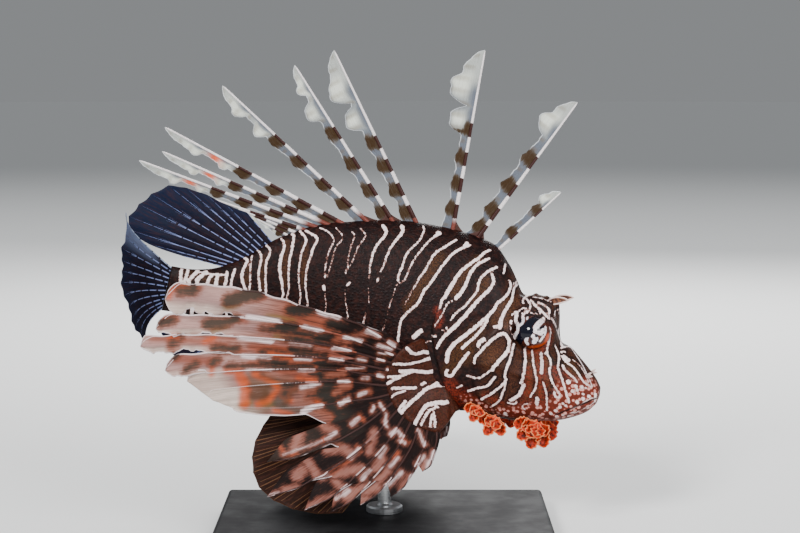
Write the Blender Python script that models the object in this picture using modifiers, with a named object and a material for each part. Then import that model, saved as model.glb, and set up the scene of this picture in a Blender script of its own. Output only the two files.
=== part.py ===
# Red lionfish, life size, swimming nose-down above a plain display stand.
# The fish is described straight and level first: s is the distance behind the snout, l is
# towards its left side and z is towards its back, in mm. swim() then bends it into its turn,
# tips its nose down and sets it above the stand, in metres with +Z up. The fish heads for +X.
import math

import bmesh
import bpy
from mathutils import Vector

MM = 0.001
GAP = 0.34  # between neighbouring pieces

# Pose
NOSE_DOWN = math.radians(13.5)
HEAD_TURN = math.radians(-13)  # the head looks towards -Y
TAIL_TURN = math.radians(21)  # the tail swings back towards -Y
TAIL_FIN_CURL = math.radians(1.3)  # further turn per mm of the tail fin
TURN_FROM, TURN_TO = 60, 262  # the stretch of body that bends
SNOUT_X, SNOUT_HEIGHT = 127, 90
ROD_STATION = 122  # where the stand's rod meets the belly, at x = 0 and y = 0

# Stand
BASE_SIZE = (200, 124, 12)
BASE_BEVEL = 2.5
ROD_RADIUS = 4
COLLAR_RADIUS, COLLAR_HEIGHT = 11, 4

# Body outline: behind the snout, back, belly, half width, height of the widest point
STATIONS = (
    (-0.5, 2.5, -8, 7, -2.5),
    (3, 6.8, -13.5, 11, -4),
    (11, 13.5, -19.5, 14, -4),
    (20, 19.5, -24, 16.5, -3),
    (27, 21.5, -26, 18, -1),
    (31, 27, -27.5, 18.7, 1),
    (37, 38, -29, 19.5, 4),
    (45, 43.5, -30.5, 20.5, 8),
    (55, 44, -31.5, 21.3, 10),
    (66, 57, -31.5, 22, 12),
    (78, 68, -32.5, 22.3, 13),
    (92, 71, -34.5, 22.2, 13),
    (112, 71.5, -36.5, 21.3, 12),
    (132, 70, -37, 19.6, 11),
    (160, 63.5, -35, 16.2, 9),
    (185, 55, -30.5, 12.8, 7),
    (205, 43, -24, 10, 5),
    (222, 27.5, -18, 7.6, 4),
    (236, 18, -14.5, 5.7, 2),
    (250, 14, -13, 4.4, 0),
    (262, 13.5, -13.5, 3, 0),
)
AROUND = 28  # corners of each body section

# Bumps and hollows of the head, on both sides: s, l, z, radius, height
HEAD_RELIEF = (
    (33.5, 7.5, 29.5, 5, 7),  # front of the brow ridge
    (38, 7.5, 34.5, 5, 8.5),
    (45.5, 7.5, 40, 6, 5),
    (52, 8, 41.5, 5, 3.5),
    (61, 10, 52, 5, 1.5),
    (48, 0, 43, 7, -4),  # trough between the brows
    (68, 7, 58, 4, 1.6),  # knobs of the nape
    (24, 5, 20, 5, 1.6),  # hump of the snout
    (13, 8, 13, 3, 1.4),  # nostril
    (30, 17.5, 0, 6, 1.2),  # ridge under the eye
    (42, 19.5, 2, 6, 1.6),
    (54, 21, 3, 6, 1.4),
    (66, 22, 2, 6, 1.2),
    (74, 21.5, -12, 7, 1.4),  # corner of the cheek plate
    (66, 19, -22, 6, 1.2),
    (33, 18, 12, 5, -1.5),  # hollow before the eye
)
EYE = (43.8, 13.5, 25)
EYE_RADII = (10.6, 8.2, 9.9)
ORBIT = (17, 10.4, 24, 12.4)  # floor of the orbit and its radius there, then the same further out
ORBIT_RIM = (12.5, 2.6, 1.6)  # radius, breadth, height
GILL_EDGE = ((78, 84), (76.5, 69), (91, 45), (101.5, 24), (102.5, 14), (97, 0), (90, -13), (83, -23), (76, -31), (70, -44))
GILL_FLAP = (5, 1.3)  # breadth and height of the flap's raised edge
MOUTH = ((-8, 0.5), (0, -4), (6, -8.5), (13, -14), (19, -18.5), (27, -21.5), (33, -40))
LIP = (2.6, 1.1)
TAIL_STEM_AT = 206

# Fins: thickness of the membrane, and of a ray at its root and tip
MEMBRANE = 0.6
RAY_ROOT, RAY_TIP = 1.7, 0.9
SPINE_ROOT, SPINE_TIP = 2.6, 1.1

# Pectoral fin: the fleshy pad it grows from, then each ray's length, first and last angle above
# straight back, first and last angle out from the side, and how far the membrane joins it to the
# next ray
PAD_CENTRE = (88, -14, -17)
PAD_RINGS = (2, 10, 19, 28)
PAD_LENGTHENED = 1.18
PAD_FLARE, PAD_THICK, PAD_RIM = 16.5, 7.5, 4.2
PECTORAL_RAYS = (
    (150, 17, -11, 38, 20, 0.68),
    (149, 11, -17, 38, 20, 0.68),
    (154, 5, -17, 38, 20, 0.68),
    (137, 0, -20, 38, 20, 0.86),
    (123, -3, -19, 38, 20, 1),
    (108, -9, -21, 38, 20, 1),
    (98, -33, -14, 38, 20, 0.5),
    (86, -49, -26, 40, 22, 0.5),
    (97, -60, -33, 40, 24, 0.68),
    (85, -71, -43, 41, 25, 0.68),
    (76, -77, -48, 42, 26, 0.68),
    (62, -83, -53, 43, 27, 0.68),
    (49, -92, -62, 44, 28, 0.68),
    (27, -100, -76, 44, 28, 0.68),
)
PECTORAL_ROWS = (0, 0.14, 0.32, 0.5, 0.68, 0.86, 1)
PECTORAL_AT = 98
RIGHT_SPREAD, LEFT_SPREAD = 0, 13  # further out from the side, in degrees
LEFT_DROP = 5

# Dorsal spines: base s, length, lean back from upright, breadth of the flag behind the rod at its
# root and middle, then where along the spine its outer and inner lobes stand, and their breadth
DORSAL_SPINES = (
    (76, 50, -33.5, 7, 4, 0.68, 6.5, 0.45, 4),
    (89.5, 99, -22.5, 9, 5, 0.81, 13, 0.6, 6.5),
    (105.5, 108, 3.5, 10, 5, 0.79, 17, 0.61, 13),
    (128, 113, 39, 10, 5.5, 0.79, 14.5, 0.61, 13),
    (142, 109, 45.5, 9, 5, 0.87, 7.5, 0.74, 11),
    (157, 117, 60, 9, 4.5, 0.86, 8.5, 0.72, 8.5),
    (172, 118, 74.5, 8, 4, 0.82, 7, 0.67, 6.5),
    (180, 106, 79, 6, 3.5, 0.81, 6, 0.66, 5.5),
    (187, 110, 82, 6, 3.5, 0.8, 6.5, 0.66, 5.5),
    (193, 62, 84, 5, 3, 0.75, 4.5, 0.6, 4),
    (197.5, 36, 80, 5, 3, 0.72, 3.5, 0.5, 3),
    (201.5, 20, 74, 4, 2.5, 0.7, 2.5, 0.5, 2.5),
)
SPINE_GROUPS = (("front", 0, 3), ("middle", 3, 6), ("rear", 6, 12))
SPINE_ROWS = 11
SPINE_SINK = 5

# Median soft fins: base s, height of the base, length, angle above straight back
SOFT_DORSAL_RAYS = (
    (207, 38, 26, 37), (209.5, 36, 37, 32), (212, 34, 48, 31), (214, 32, 59, 28.5), (216, 30, 67, 26),
    (218, 28, 71, 20), (220, 26, 73, 15), (222, 24, 74, 10), (224.5, 22, 69, 6), (227, 20.5, 53, 3),
    (230, 19, 28, 3),
)
ANAL_RAYS = (
    (196, -24, 16, -66), (200, -23, 24, -62), (204, -22, 31, -58), (208, -20.5, 38, -53), (213, -18.5, 40, -48),
    (218, -17, 39, -43), (223, -15, 37, -38), (228, -14, 34, -33), (233, -13, 31, -28), (237, -12, 28, -23),
)
# Tail fin, from its top ray down: height of the root, length, angle above straight back, swing to
# the right side
TAIL_RAYS = (
    (12.5, 62, 29, 0), (10.5, 45, 23, 0), (8.5, 43, 17, 0), (6, 43.5, 11, 2), (3.5, 44.5, 6, 4),
    (1, 45, 1, 7), (-1.5, 45, -5, 11), (-4, 44, -11, 15), (-6.5, 43, -17, 20), (-8.5, 41, -23, 25),
    (-10.5, 40, -29, 30), (-12.5, 42, -35, 35),
)
MEDIAN_ROWS = (0, 0.1, 0.4, 0.7, 1)

# Pelvic fin, from its leading spine back: length, angle above straight back, out from the side
PELVIC_ROOT = (100, 8, -33)
PELVIC_RAYS = ((83, -69, 26.5), (101, -55, 26.5), (108, -43, 25), (103, -34, 24), (88, -26, 23), (64, -19, 22))
PELVIC_ROWS = (0, 0.1, 0.3, 0.55, 0.8, 1)

# Fringes of skin on the head: root s, l, z, then length, angle above straight ahead, out from
# the side, number of fingers, their spread and their breadth
FRINGES = {
    "brow_tentacle": (40, 9.5, 44, 12, 24, 12, 3, 22, 2.4),
    "nose_tentacle": (8, 9, 7, 5, 40, 35, 3, 50, 1.6),
    "cheek_fringe_rear": (61.5, 19, -24, 13, -122, 22, 5, 95, 2.8),
    "cheek_fringe_front": (51, 16.5, -27.5, 14, -112, 16, 5, 100, 2.8),
    "chin_fringe": (27.5, 13, -24.5, 19, -105, 14, 6, 110, 3.2),
}

COLOURS = {
    "skin": ((0.19, 0.06, 0.045), 0.45, 0),
    "fin": ((0.42, 0.2, 0.16), 0.5, 0),
    "dark_fin": ((0.06, 0.035, 0.035), 0.5, 0),
    "spine": ((0.62, 0.55, 0.52), 0.45, 0),
    "eye": ((0.02, 0.02, 0.03), 0.08, 0),
    "fringe": ((0.6, 0.13, 0.04), 0.55, 0),
    "base": ((0.03, 0.03, 0.032), 0.4, 0),
    "rod": ((0.55, 0.56, 0.57), 0.28, 1),
}


def material(name):
    found = bpy.data.materials.get(name)
    if found:
        return found
    colour, roughness, metallic = COLOURS[name]
    made = bpy.data.materials.new(name)
    made.use_nodes = True
    shader = made.node_tree.nodes["Principled BSDF"]
    shader.inputs["Base Color"].default_value = (*colour, 1)
    shader.inputs["Roughness"].default_value = roughness
    shader.inputs["Metallic"].default_value = metallic
    return made


def between(table, x, column):
    """A smooth curve through one column of a table whose first column is x."""
    last = len(table) - 1
    i = 0
    while i < last - 1 and table[i + 1][0] < x:
        i += 1
    x0, x1 = table[i][0], table[i + 1][0]
    y0, y1 = table[i][column], table[i + 1][column]
    before, after = table[max(i - 1, 0)], table[min(i + 2, last)]
    slope0 = (y1 - before[column]) / (x1 - before[0])
    slope1 = (after[column] - y0) / (after[0] - x0)
    step = x1 - x0
    t = min(max((x - x0) / step, 0), 1)
    return (
        (2 * t ** 3 - 3 * t ** 2 + 1) * y0
        + (t ** 3 - 2 * t ** 2 + t) * step * slope0
        + (3 * t ** 2 - 2 * t ** 3) * y1
        + (t ** 3 - t ** 2) * step * slope1
    )


def heading(s):
    along = min(max((s - TURN_FROM) / (TURN_TO - TURN_FROM), 0), 1)
    return HEAD_TURN + (TAIL_TURN - HEAD_TURN) * along + max(s - TURN_TO, 0) * TAIL_FIN_CURL


def lay_course():
    """Places of the fish's axis at each mm behind the snout, seen from above."""
    places = [Vector((0, 0))]
    for step in range(360):
        turn = heading(step + 0.5)
        back = 1 if step < TURN_TO else math.cos(turn)
        places.append(places[-1] - Vector((back, back * math.tan(turn))))
    middle = places[ROD_STATION].y
    return [place - Vector((0, middle)) for place in places]


COURSE = lay_course()


def course(s):
    first = min(max(int(s), 0), len(COURSE) - 2)
    return COURSE[first].lerp(COURSE[first + 1], s - first)


def swim(point, at=None):
    """A point of the straight fish in the world. What is stiff keeps the heading of its root."""
    s, l, z = point
    at = s if at is None else at
    turn = heading(at)
    back = s - at
    place = course(at)
    x = place.x - back * math.cos(turn) - l * math.sin(turn)
    y = place.y - back * math.sin(turn) + l * math.cos(turn)
    return MM * Vector((
        SNOUT_X + x * math.cos(NOSE_DOWN) + z * math.sin(NOSE_DOWN),
        y,
        SNOUT_HEIGHT - x * math.sin(NOSE_DOWN) + z * math.cos(NOSE_DOWN),
    ))


def distance_to(line, s, z):
    """Distance from a line in side view, below zero in front of it."""
    here = Vector((s, z))
    best = None
    for start, end in zip(line, line[1:]):
        start, end = Vector(start), Vector(end)
        run = end - start
        t = min(max((here - start).dot(run) / run.length_squared, 0), 1)
        away = here - start - run * t
        if best is None or away.length < abs(best):
            side = run.x * (here.y - start.y) - run.y * (here.x - start.x)
            best = away.length if side > 0 else -away.length
    return best


def relief(s, l, z):
    """How far the skin of the head stands out from the plain section."""
    out = 0
    for bs, bl, bz, radius, height in HEAD_RELIEF:
        away = (s - bs) ** 2 + (abs(l) - bl) ** 2 + (z - bz) ** 2
        out += height * math.exp(-away / (radius * radius))
    if s > 115:
        return out
    rim, breadth, height = ORBIT_RIM
    ring = math.hypot(s - EYE[0], z - EYE[2]) - rim
    if abs(l) > 6:
        out += height * math.exp(-((ring / breadth) ** 2))
    breadth, height = LIP
    if s < 22:
        out += height * math.exp(-((distance_to(MOUTH, s, z) / breadth) ** 2))
    breadth, height = GILL_FLAP
    behind = distance_to(GILL_EDGE, s, z)
    if z < 26 and behind < 0:
        out += height * math.exp(behind / breadth) * min(1, (26 - z) / 6)
    return out


def body_point(s, angle):
    """A point of the skin, with the angle measured from the back towards the left side."""
    back, belly, half, mid = (between(STATIONS, s, column) for column in (1, 2, 3, 4))
    up, out = math.cos(angle), math.sin(angle)
    if up > 0:
        z = mid + (back - mid) * up ** 0.92
        l = half * math.copysign(abs(out) ** 1.25, out)
    else:
        z = mid - (mid - belly) * abs(up) ** 0.94
        l = half * math.copysign(abs(out) ** 0.88, out)
    radial = Vector((l, z - mid))
    if radial.length > 0:
        radial.normalize()
    away = relief(s, l, z)
    return Vector((s, l + radial.x * away, z + radial.y * away))


def body_steps():
    steps, s = [], STATIONS[0][0]
    while s < 261.5:
        steps.append(s)
        s += 2.7 if s < 60 else 4 if s < 108 else 7
    return steps + [262]


def body_mesh():
    """The whole body as one closed loft, straight and level."""
    mesh = bmesh.new()
    rings = []
    for s in body_steps():
        rings.append([mesh.verts.new(body_point(s, 2 * math.pi * k / AROUND)) for k in range(AROUND)])
    for ring, following in zip(rings, rings[1:]):
        for k in range(AROUND):
            after = (k + 1) % AROUND
            mesh.faces.new((ring[k], following[k], following[after], ring[after]))
    snout = mesh.verts.new((STATIONS[0][0] - 1, 0, -2.5))
    stump = mesh.verts.new((262, 0, 0))
    for k in range(AROUND):
        after = (k + 1) % AROUND
        mesh.faces.new((snout, rings[0][k], rings[0][after]))
        mesh.faces.new((stump, rings[-1][after], rings[-1][k]))
    bmesh.ops.triangulate(mesh, faces=mesh.faces[:])
    bmesh.ops.recalc_face_normals(mesh, faces=mesh.faces[:])
    return mesh


def into_object(mesh, name, colour, collection):
    data = bpy.data.meshes.new(name)
    mesh.to_mesh(data)
    mesh.free()
    data.materials.append(material(colour))
    made = bpy.data.objects.new(name, data)
    collection.objects.link(made)
    return made


def swollen(source, by, collection, name):
    """A copy of a piece, thicker all round, that keeps a gap where it cuts its neighbours."""
    mesh = bmesh.new()
    mesh.from_mesh(source.data)
    mesh.normal_update()
    for vertex in mesh.verts:
        vertex.co += vertex.normal * by
    return into_object(mesh, name, "skin", collection)


def applied(target):
    """Replace an object's mesh by its evaluated one and drop its modifiers."""
    graph = bpy.context.evaluated_depsgraph_get()
    data = bpy.data.meshes.new_from_object(target.evaluated_get(graph))
    target.modifiers.clear()
    old = target.data
    target.data = data
    bpy.data.meshes.remove(old)


def cut(target, cutters, operation="DIFFERENCE"):
    for cutter in cutters:
        boolean = target.modifiers.new("cut", "BOOLEAN")
        boolean.operation = operation
        boolean.solver = "EXACT"
        boolean.object = cutter
        applied(target)
    keep_largest(target)


def surfaces(mesh):
    """The separate closed surfaces of a mesh, as lists of its vertices."""
    left = set(mesh.verts)
    groups = []
    while left:
        group, front = [], [left.pop()]
        while front:
            vertex = front.pop()
            group.append(vertex)
            for edge in vertex.link_edges:
                other = edge.other_vert(vertex)
                if other in left:
                    left.remove(other)
                    front.append(other)
        groups.append(group)
    return groups


def keep_largest(target):
    mesh = bmesh.new()
    mesh.from_mesh(target.data)
    groups = sorted(surfaces(mesh), key=len)
    for group in groups[:-1]:
        bmesh.ops.delete(mesh, geom=group, context="VERTS")
    bmesh.ops.triangulate(mesh, faces=mesh.faces[:])
    mesh.to_mesh(target.data)
    mesh.free()


def thin_wall(line, breadth, collection, name):
    """A cutter: a line in side view, thickened to the gap and run right across the fish."""
    mesh = bmesh.new()
    sides = []
    for i, (s, z) in enumerate(line):
        before, after = Vector(line[max(i - 1, 0)]), Vector(line[min(i + 1, len(line) - 1)])
        run = (after - before).normalized()
        normal = Vector((-run.y, run.x)) * breadth / 2
        sides.append([
            [mesh.verts.new((s + normal.x * edge, l, z + normal.y * edge)) for l in (-60, 60)]
            for edge in (-1, 1)
        ])
    for (a, b), (c, d) in zip(sides, sides[1:]):
        mesh.faces.new((a[0], c[0], c[1], a[1]))
        mesh.faces.new((b[0], b[1], d[1], d[0]))
        mesh.faces.new((a[0], b[0], d[0], c[0]))
        mesh.faces.new((a[1], c[1], d[1], b[1]))
    for a, b in (sides[0], sides[-1]):
        mesh.faces.new((a[0], a[1], b[1], b[0]))
    bmesh.ops.recalc_face_normals(mesh, faces=mesh.faces[:])
    return into_object(mesh, name, "skin", collection)


def ball(centre, radii, collection, name, colour):
    mesh = bmesh.new()
    bmesh.ops.create_uvsphere(mesh, u_segments=16, v_segments=10, radius=1)
    turned = [Vector((v.co.x, v.co.z, v.co.y)) for v in mesh.verts]
    for vertex, place in zip(mesh.verts, turned):
        vertex.co = Vector(centre) + Vector(a * b for a, b in zip(place, radii))
    bmesh.ops.triangulate(mesh, faces=mesh.faces[:])
    bmesh.ops.recalc_face_normals(mesh, faces=mesh.faces[:])
    return into_object(mesh, name, colour, collection)


def orbit_cutter(sign, collection, name):
    """The round opening in the head that the eye looks out of."""
    floor, inner, brim, outer = ORBIT
    mesh = bmesh.new()
    bmesh.ops.create_cone(mesh, cap_ends=True, segments=24, radius1=inner, radius2=outer, depth=brim - floor)
    squash = EYE_RADII[2] / EYE_RADII[0]
    for vertex in mesh.verts:
        x, y, depth = vertex.co
        vertex.co = Vector((EYE[0] + x, sign * ((floor + brim) / 2 + depth), EYE[2] + y * squash))
    bmesh.ops.recalc_face_normals(mesh, faces=mesh.faces[:])
    return into_object(mesh, name, "skin", collection)


def bend(target, at=None):
    """Move a straight piece into the pose. The straight frame is left-handed, so faces flip."""
    for vertex in target.data.vertices:
        vertex.co = swim(vertex.co, at)
    target.data.flip_normals()
    target.data.update()


def part_body(fish, guides):
    """The body, with sockets for the eyes, parted along the gills, mouth and tail stem."""
    body = into_object(body_mesh(), "_body", "skin", guides)
    whole = into_object(body_mesh(), "_whole", "skin", guides)
    clear = swollen(whole, GAP, guides, "_clear")
    bend(clear)
    for side, sign in (("right", -1), ("left", 1)):
        centre = (EYE[0], sign * EYE[1], EYE[2])
        eye = ball(centre, EYE_RADII, fish, f"eye_{side}", "eye")
        socket = ball(centre, tuple(r + GAP for r in EYE_RADII), guides, f"_socket_{side}", "skin")
        bend(eye)
        cut(body, [orbit_cutter(sign, guides, f"_orbit_{side}"), socket])
    stem_cut = ((TAIL_STEM_AT, 70), (TAIL_STEM_AT + 2, 10), (TAIL_STEM_AT, -50))
    walls = [
        thin_wall(GILL_EDGE, GAP, guides, "_gill_wall"),
        thin_wall(MOUTH, 0.5, guides, "_mouth_wall"),
        thin_wall(stem_cut, GAP, guides, "_stem_wall"),
    ]
    for wall in walls:
        boolean = body.modifiers.new("cut", "BOOLEAN")
        boolean.operation = "DIFFERENCE"
        boolean.solver = "EXACT"
        boolean.object = wall
        applied(body)
    mesh = bmesh.new()
    mesh.from_mesh(body.data)
    pieces = sorted(surfaces(mesh), key=len)[-4:]
    middles = [sum(v.co.x for v in piece) / len(piece) for piece in pieces]
    order = [piece for _, piece in sorted(zip(middles, pieces), key=lambda pair: pair[0])]
    for name, piece in zip(("lower_jaw", "head", "trunk", "tail_stem"), order):
        kept = {v.index for v in piece}
        single = mesh.copy()
        single.verts.ensure_lookup_table()
        bmesh.ops.delete(single, geom=[v for v in single.verts if v.index not in kept], context="VERTS")
        bmesh.ops.triangulate(single, faces=single.faces[:])
        made = into_object(single, name, "skin", fish)
        bend(made)
        made.data.shade_smooth()
        made.data.set_sharp_from_angle(angle=math.radians(40))
    mesh.free()
    return clear


def thicken(mesh, thickness):
    """Turn an open sheet of triangles into a closed solid, alike on both faces."""
    mesh.normal_update()
    sheet = mesh.faces[:]
    rim = [edge for edge in mesh.edges if edge.is_boundary]
    below = {}
    for vertex in mesh.verts[:]:
        half = vertex.normal * (thickness[vertex] / 2)
        below[vertex] = mesh.verts.new(vertex.co - half)
        vertex.co += half
    for edge in rim:
        face = edge.link_faces[0]
        corners = list(face.verts)
        start, end = edge.verts
        if corners[(corners.index(start) + 1) % 3] is not end:
            start, end = end, start
        mesh.faces.new((end, start, below[start]))
        mesh.faces.new((end, below[start], below[end]))
    for face in sheet:
        a, b, c = face.verts
        mesh.faces.new((below[c], below[b], below[a]))


def curved_ray(root, length, rise, out, rows):
    """Points along a ray that turns evenly from its first to its last angles, in degrees."""
    here, points, steps = Vector(root), [], 40
    for step in range(steps + 1):
        t = step / steps
        points.append(here.copy())
        up = math.radians(rise[0] + (rise[1] - rise[0]) * (t + 0.5 / steps))
        side = math.radians(out[0] + (out[1] - out[0]) * (t + 0.5 / steps))
        here += Vector((math.cos(up) * math.cos(side), math.sin(side), math.sin(up) * math.cos(side))) * length / steps
    return [points[round(row * steps)] if row < 1 else points[steps] for row in rows]


def sheet_fin(rays, joins, before, after, thick, stiff_at, rod=None, pleated=False):
    """A fin: one sheet through all its rays, with a ridge on each, slit between them from the
    row in joins outwards. before and after give the free breadth on each side of a ray. In a
    pleated fin the ridges slope all the way to the middle of the membrane."""
    mesh = bmesh.new()
    thickness = {}
    rows, count = len(rays[0]), len(rays)

    def run(k, j):
        return (rays[k][min(j + 1, rows - 1)] - rays[k][max(j - 1, 0)]).normalized()

    def across(k, j):
        low, high = max(k - 1, 0), min(k + 1, count - 1)
        side = rays[high][j] - rays[low][j]
        return (side - run(k, j) * side.dot(run(k, j))).normalized()

    def ridge(k, j):
        if pleated:
            return 0
        breadth = thick(k, j) * 0.5 + 0.15 if rod is None else rod(k, j)
        for other in (k - 1, k + 1):
            if 0 <= other < count:
                apart = rays[other][j] - rays[k][j]
                breadth = min(breadth, (apart - run(k, j) * apart.dot(run(k, j))).length * 0.3)
        return breadth

    def corner(k, j, offset, amount=MEMBRANE):
        vertex = mesh.verts.new(swim(rays[k][j] + across(k, j) * offset, stiff_at(k)))
        thickness[vertex] = amount * MM
        return vertex

    crest, left, right, near, far = {}, {}, {}, {}, {}
    for k in range(count):
        for j in range(rows):
            crest[k, j] = corner(k, j, 0, thick(k, j))
            near[k, j] = crest[k, j] if pleated else corner(k, j, -ridge(k, j))
            far[k, j] = crest[k, j] if pleated else corner(k, j, ridge(k, j))
    for j in range(rows):
        left[0, j] = corner(0, j, -ridge(0, j) - before(0, j)) if before(0, j) else near[0, j]
        k = count - 1
        right[k, j] = corner(k, j, ridge(k, j) + after(k, j)) if after(k, j) else far[k, j]
        for k in range(count - 1):
            if j <= joins[k]:
                at = None if stiff_at(k) is None else (stiff_at(k) + stiff_at(k + 1)) / 2
                shared = mesh.verts.new(swim((rays[k][j] + rays[k + 1][j]) / 2, at))
                thickness[shared] = MEMBRANE * MM
                right[k, j] = left[k + 1, j] = shared
                continue
            room = (rays[k + 1][j] - rays[k][j]).length * 0.47
            free = min(after(k, j), room - ridge(k, j))
            right[k, j] = corner(k, j, ridge(k, j) + free) if free > 0.05 else far[k, j]
            free = min(before(k + 1, j), room - ridge(k + 1, j))
            left[k + 1, j] = corner(k + 1, j, -ridge(k + 1, j) - free) if free > 0.05 else near[k + 1, j]
    for k in range(count):
        columns = (left, crest, right) if pleated else (left, near, crest, far, right)
        for first, second in zip(columns, columns[1:]):
            for j in range(rows - 1):
                a, b = first[k, j], second[k, j]
                c, d = second[k, j + 1], first[k, j + 1]
                if a is not b:
                    mesh.faces.new((a, b, c))
                if c is not d:
                    mesh.faces.new((a, c, d))
    thicken(mesh, thickness)
    return mesh


def tapered(root, tip):
    def thick(row, rows):
        return root + (tip - root) * row / (rows - 1)
    return thick


def finish_fin(mesh, name, colour, cutters, fish):
    made = into_object(mesh, name, colour, fish)
    cut(made, cutters)
    made.data.shade_smooth()
    made.data.set_sharp_from_angle(angle=math.radians(40))
    return made


def pad_point(radius, turn, sign):
    """A place on the middle surface of the pectoral pad, by polar place in side view."""
    return Vector((
        PAD_CENTRE[0] + radius * math.cos(turn) * PAD_LENGTHENED,
        sign * (-PAD_CENTRE[1] + PAD_FLARE * (radius / PAD_RINGS[-1]) ** 1.7),
        PAD_CENTRE[2] + radius * math.sin(turn),
    ))


def ray_turn(k):
    """Where the root of pectoral ray k stands on the pad's rim."""
    return math.radians(32 - 128 * k / (len(PECTORAL_RAYS) - 1))


def pectoral_pad(side, sign, clear, fish, guides):
    mesh = bmesh.new()
    thickness, rings = {}, []
    for radius in PAD_RINGS:
        ring = []
        for k in range(15):
            turn = math.radians(58 - 166 * k / 14)
            vertex = mesh.verts.new(swim(pad_point(radius, turn, sign), PECTORAL_AT))
            share = radius / PAD_RINGS[-1]
            thickness[vertex] = (PAD_THICK + (PAD_RIM - PAD_THICK) * share) * MM
            ring.append(vertex)
        rings.append(ring)
    for inner, outer in zip(rings, rings[1:]):
        for k in range(14):
            mesh.faces.new((inner[k], outer[k], outer[k + 1]))
            mesh.faces.new((inner[k], outer[k + 1], inner[k + 1]))
    thicken(mesh, thickness)
    bmesh.ops.recalc_face_normals(mesh, faces=mesh.faces[:])
    pad = into_object(mesh, f"pectoral_base_{side}", "skin", fish)
    uncut = swollen(pad, GAP * MM, guides, f"_pad_{side}")
    cut(pad, [clear])
    pad.data.shade_smooth()
    pad.data.set_sharp_from_angle(angle=math.radians(40))
    return uncut


def pectoral_fin(side, sign, spread, drop, cutters, fish):
    rays = []
    for k, (length, rise, fall, out, back, _) in enumerate(PECTORAL_RAYS):
        root = pad_point(PAD_RINGS[-1] - 2, ray_turn(k), sign)
        turned = (sign * (out + spread), sign * (back + spread))
        rays.append(curved_ray(root, length + 2, (rise - drop, fall - drop), turned, PECTORAL_ROWS))
    rows = len(PECTORAL_ROWS)
    joins = [PECTORAL_ROWS.index(ray[5]) for ray in PECTORAL_RAYS[:-1]]
    taper = tapered(RAY_ROOT, RAY_TIP)

    def free_above(k, j):
        return (2.4 if j == rows - 1 else 7.5) * (1.25 if k == 0 else 1)

    def free_below(k, j):
        return (2.2 if j == rows - 1 else 6) * (1 if k < 6 else 0.3)

    mesh = sheet_fin(rays, joins, free_above, free_below, lambda k, j: taper(j, rows), lambda k: PECTORAL_AT)
    return finish_fin(mesh, f"pectoral_fin_{side}", "fin", cutters, fish)


def spine_shape(spine):
    """Where the rows of a spine lie along it, and how broad its flag is at each."""
    root, middle, outer, outer_broad, inner, inner_broad = spine[3:]
    return (
        (0, root), (0.045, root * 0.8), (0.09, root * 0.6), (0.25, middle), (inner - 0.1, middle),
        (inner, inner_broad), ((inner + outer) / 2, min(inner_broad, outer_broad) * 0.55), (outer, outer_broad),
        (outer + 0.045, outer_broad * 0.6), (outer + 0.08, outer_broad * 0.6), (1, 0.2),
    )


def spine_ray(spine):
    """Points along a spine's rod, from inside the back."""
    base, length, lean = spine[:3]
    run = Vector((math.sin(math.radians(lean)), 0, math.cos(math.radians(lean))))
    root = Vector((base, 0, between(STATIONS, base, 1))) - run * SPINE_SINK
    return [root + run * (length + SPINE_SINK) * along for along, _ in spine_shape(spine)]


def dorsal_spines(clear, fish):
    taper = tapered(SPINE_ROOT, SPINE_TIP)
    for name, first, last in SPINE_GROUPS:
        spines = DORSAL_SPINES[first:last]
        mesh = sheet_fin(
            [spine_ray(spine) for spine in spines], [2] * (len(spines) - 1),
            lambda k, j: 0, lambda k, j: spine_shape(spines[k])[j][1],
            lambda k, j: taper(j, SPINE_ROWS), lambda k: spines[k][0],
            rod=lambda k, j: taper(j, SPINE_ROWS) / 2,
        )
        finish_fin(mesh, f"dorsal_spines_{name}", "spine", [clear], fish)


def median_fin(name, table, sink, colour, cutters, fish):
    """A soft fin on the middle line, whose membrane reaches nearly to the tips of its rays."""
    rows = len(MEDIAN_ROWS)
    rays = []
    for base, height, length, rise in table:
        run = Vector((math.cos(math.radians(rise)), 0, math.sin(math.radians(rise))))
        root = Vector((base, 0, height)) - run * sink
        rays.append([root + run * (length + sink) * row for row in MEDIAN_ROWS])
    if rays[0][-1].z < rays[-1][-1].z:
        rays.reverse()
        table = table[::-1]
    taper = tapered(RAY_ROOT * 0.85, RAY_TIP * 0.85)
    mesh = sheet_fin(
        rays, [rows - 1] * (len(rays) - 1), lambda k, j: 0.3 if j < rows - 1 else 0,
        lambda k, j: 0.3 if j < rows - 1 else 0, lambda k, j: taper(j, rows), lambda k: table[k][0],
        pleated=True,
    )
    return finish_fin(mesh, name, colour, cutters, fish)


def tail_fin(clear, fish):
    rows = len(MEDIAN_ROWS)
    rays = []
    for height, length, rise, swing in TAIL_RAYS:
        rays.append(curved_ray((262 + GAP, 0, height), length, (rise, rise), (-swing, -swing), MEDIAN_ROWS))
    taper = tapered(RAY_ROOT * 0.85, RAY_TIP * 0.85)
    mesh = sheet_fin(
        rays, [rows - 1] * (len(rays) - 1), lambda k, j: 0.3 if j < rows - 1 else 0,
        lambda k, j: 0.3 if j < rows - 1 else 0, lambda k, j: taper(j, rows), lambda k: None, pleated=True,
    )
    return finish_fin(mesh, "caudal_fin", "dark_fin", [clear], fish)


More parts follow.
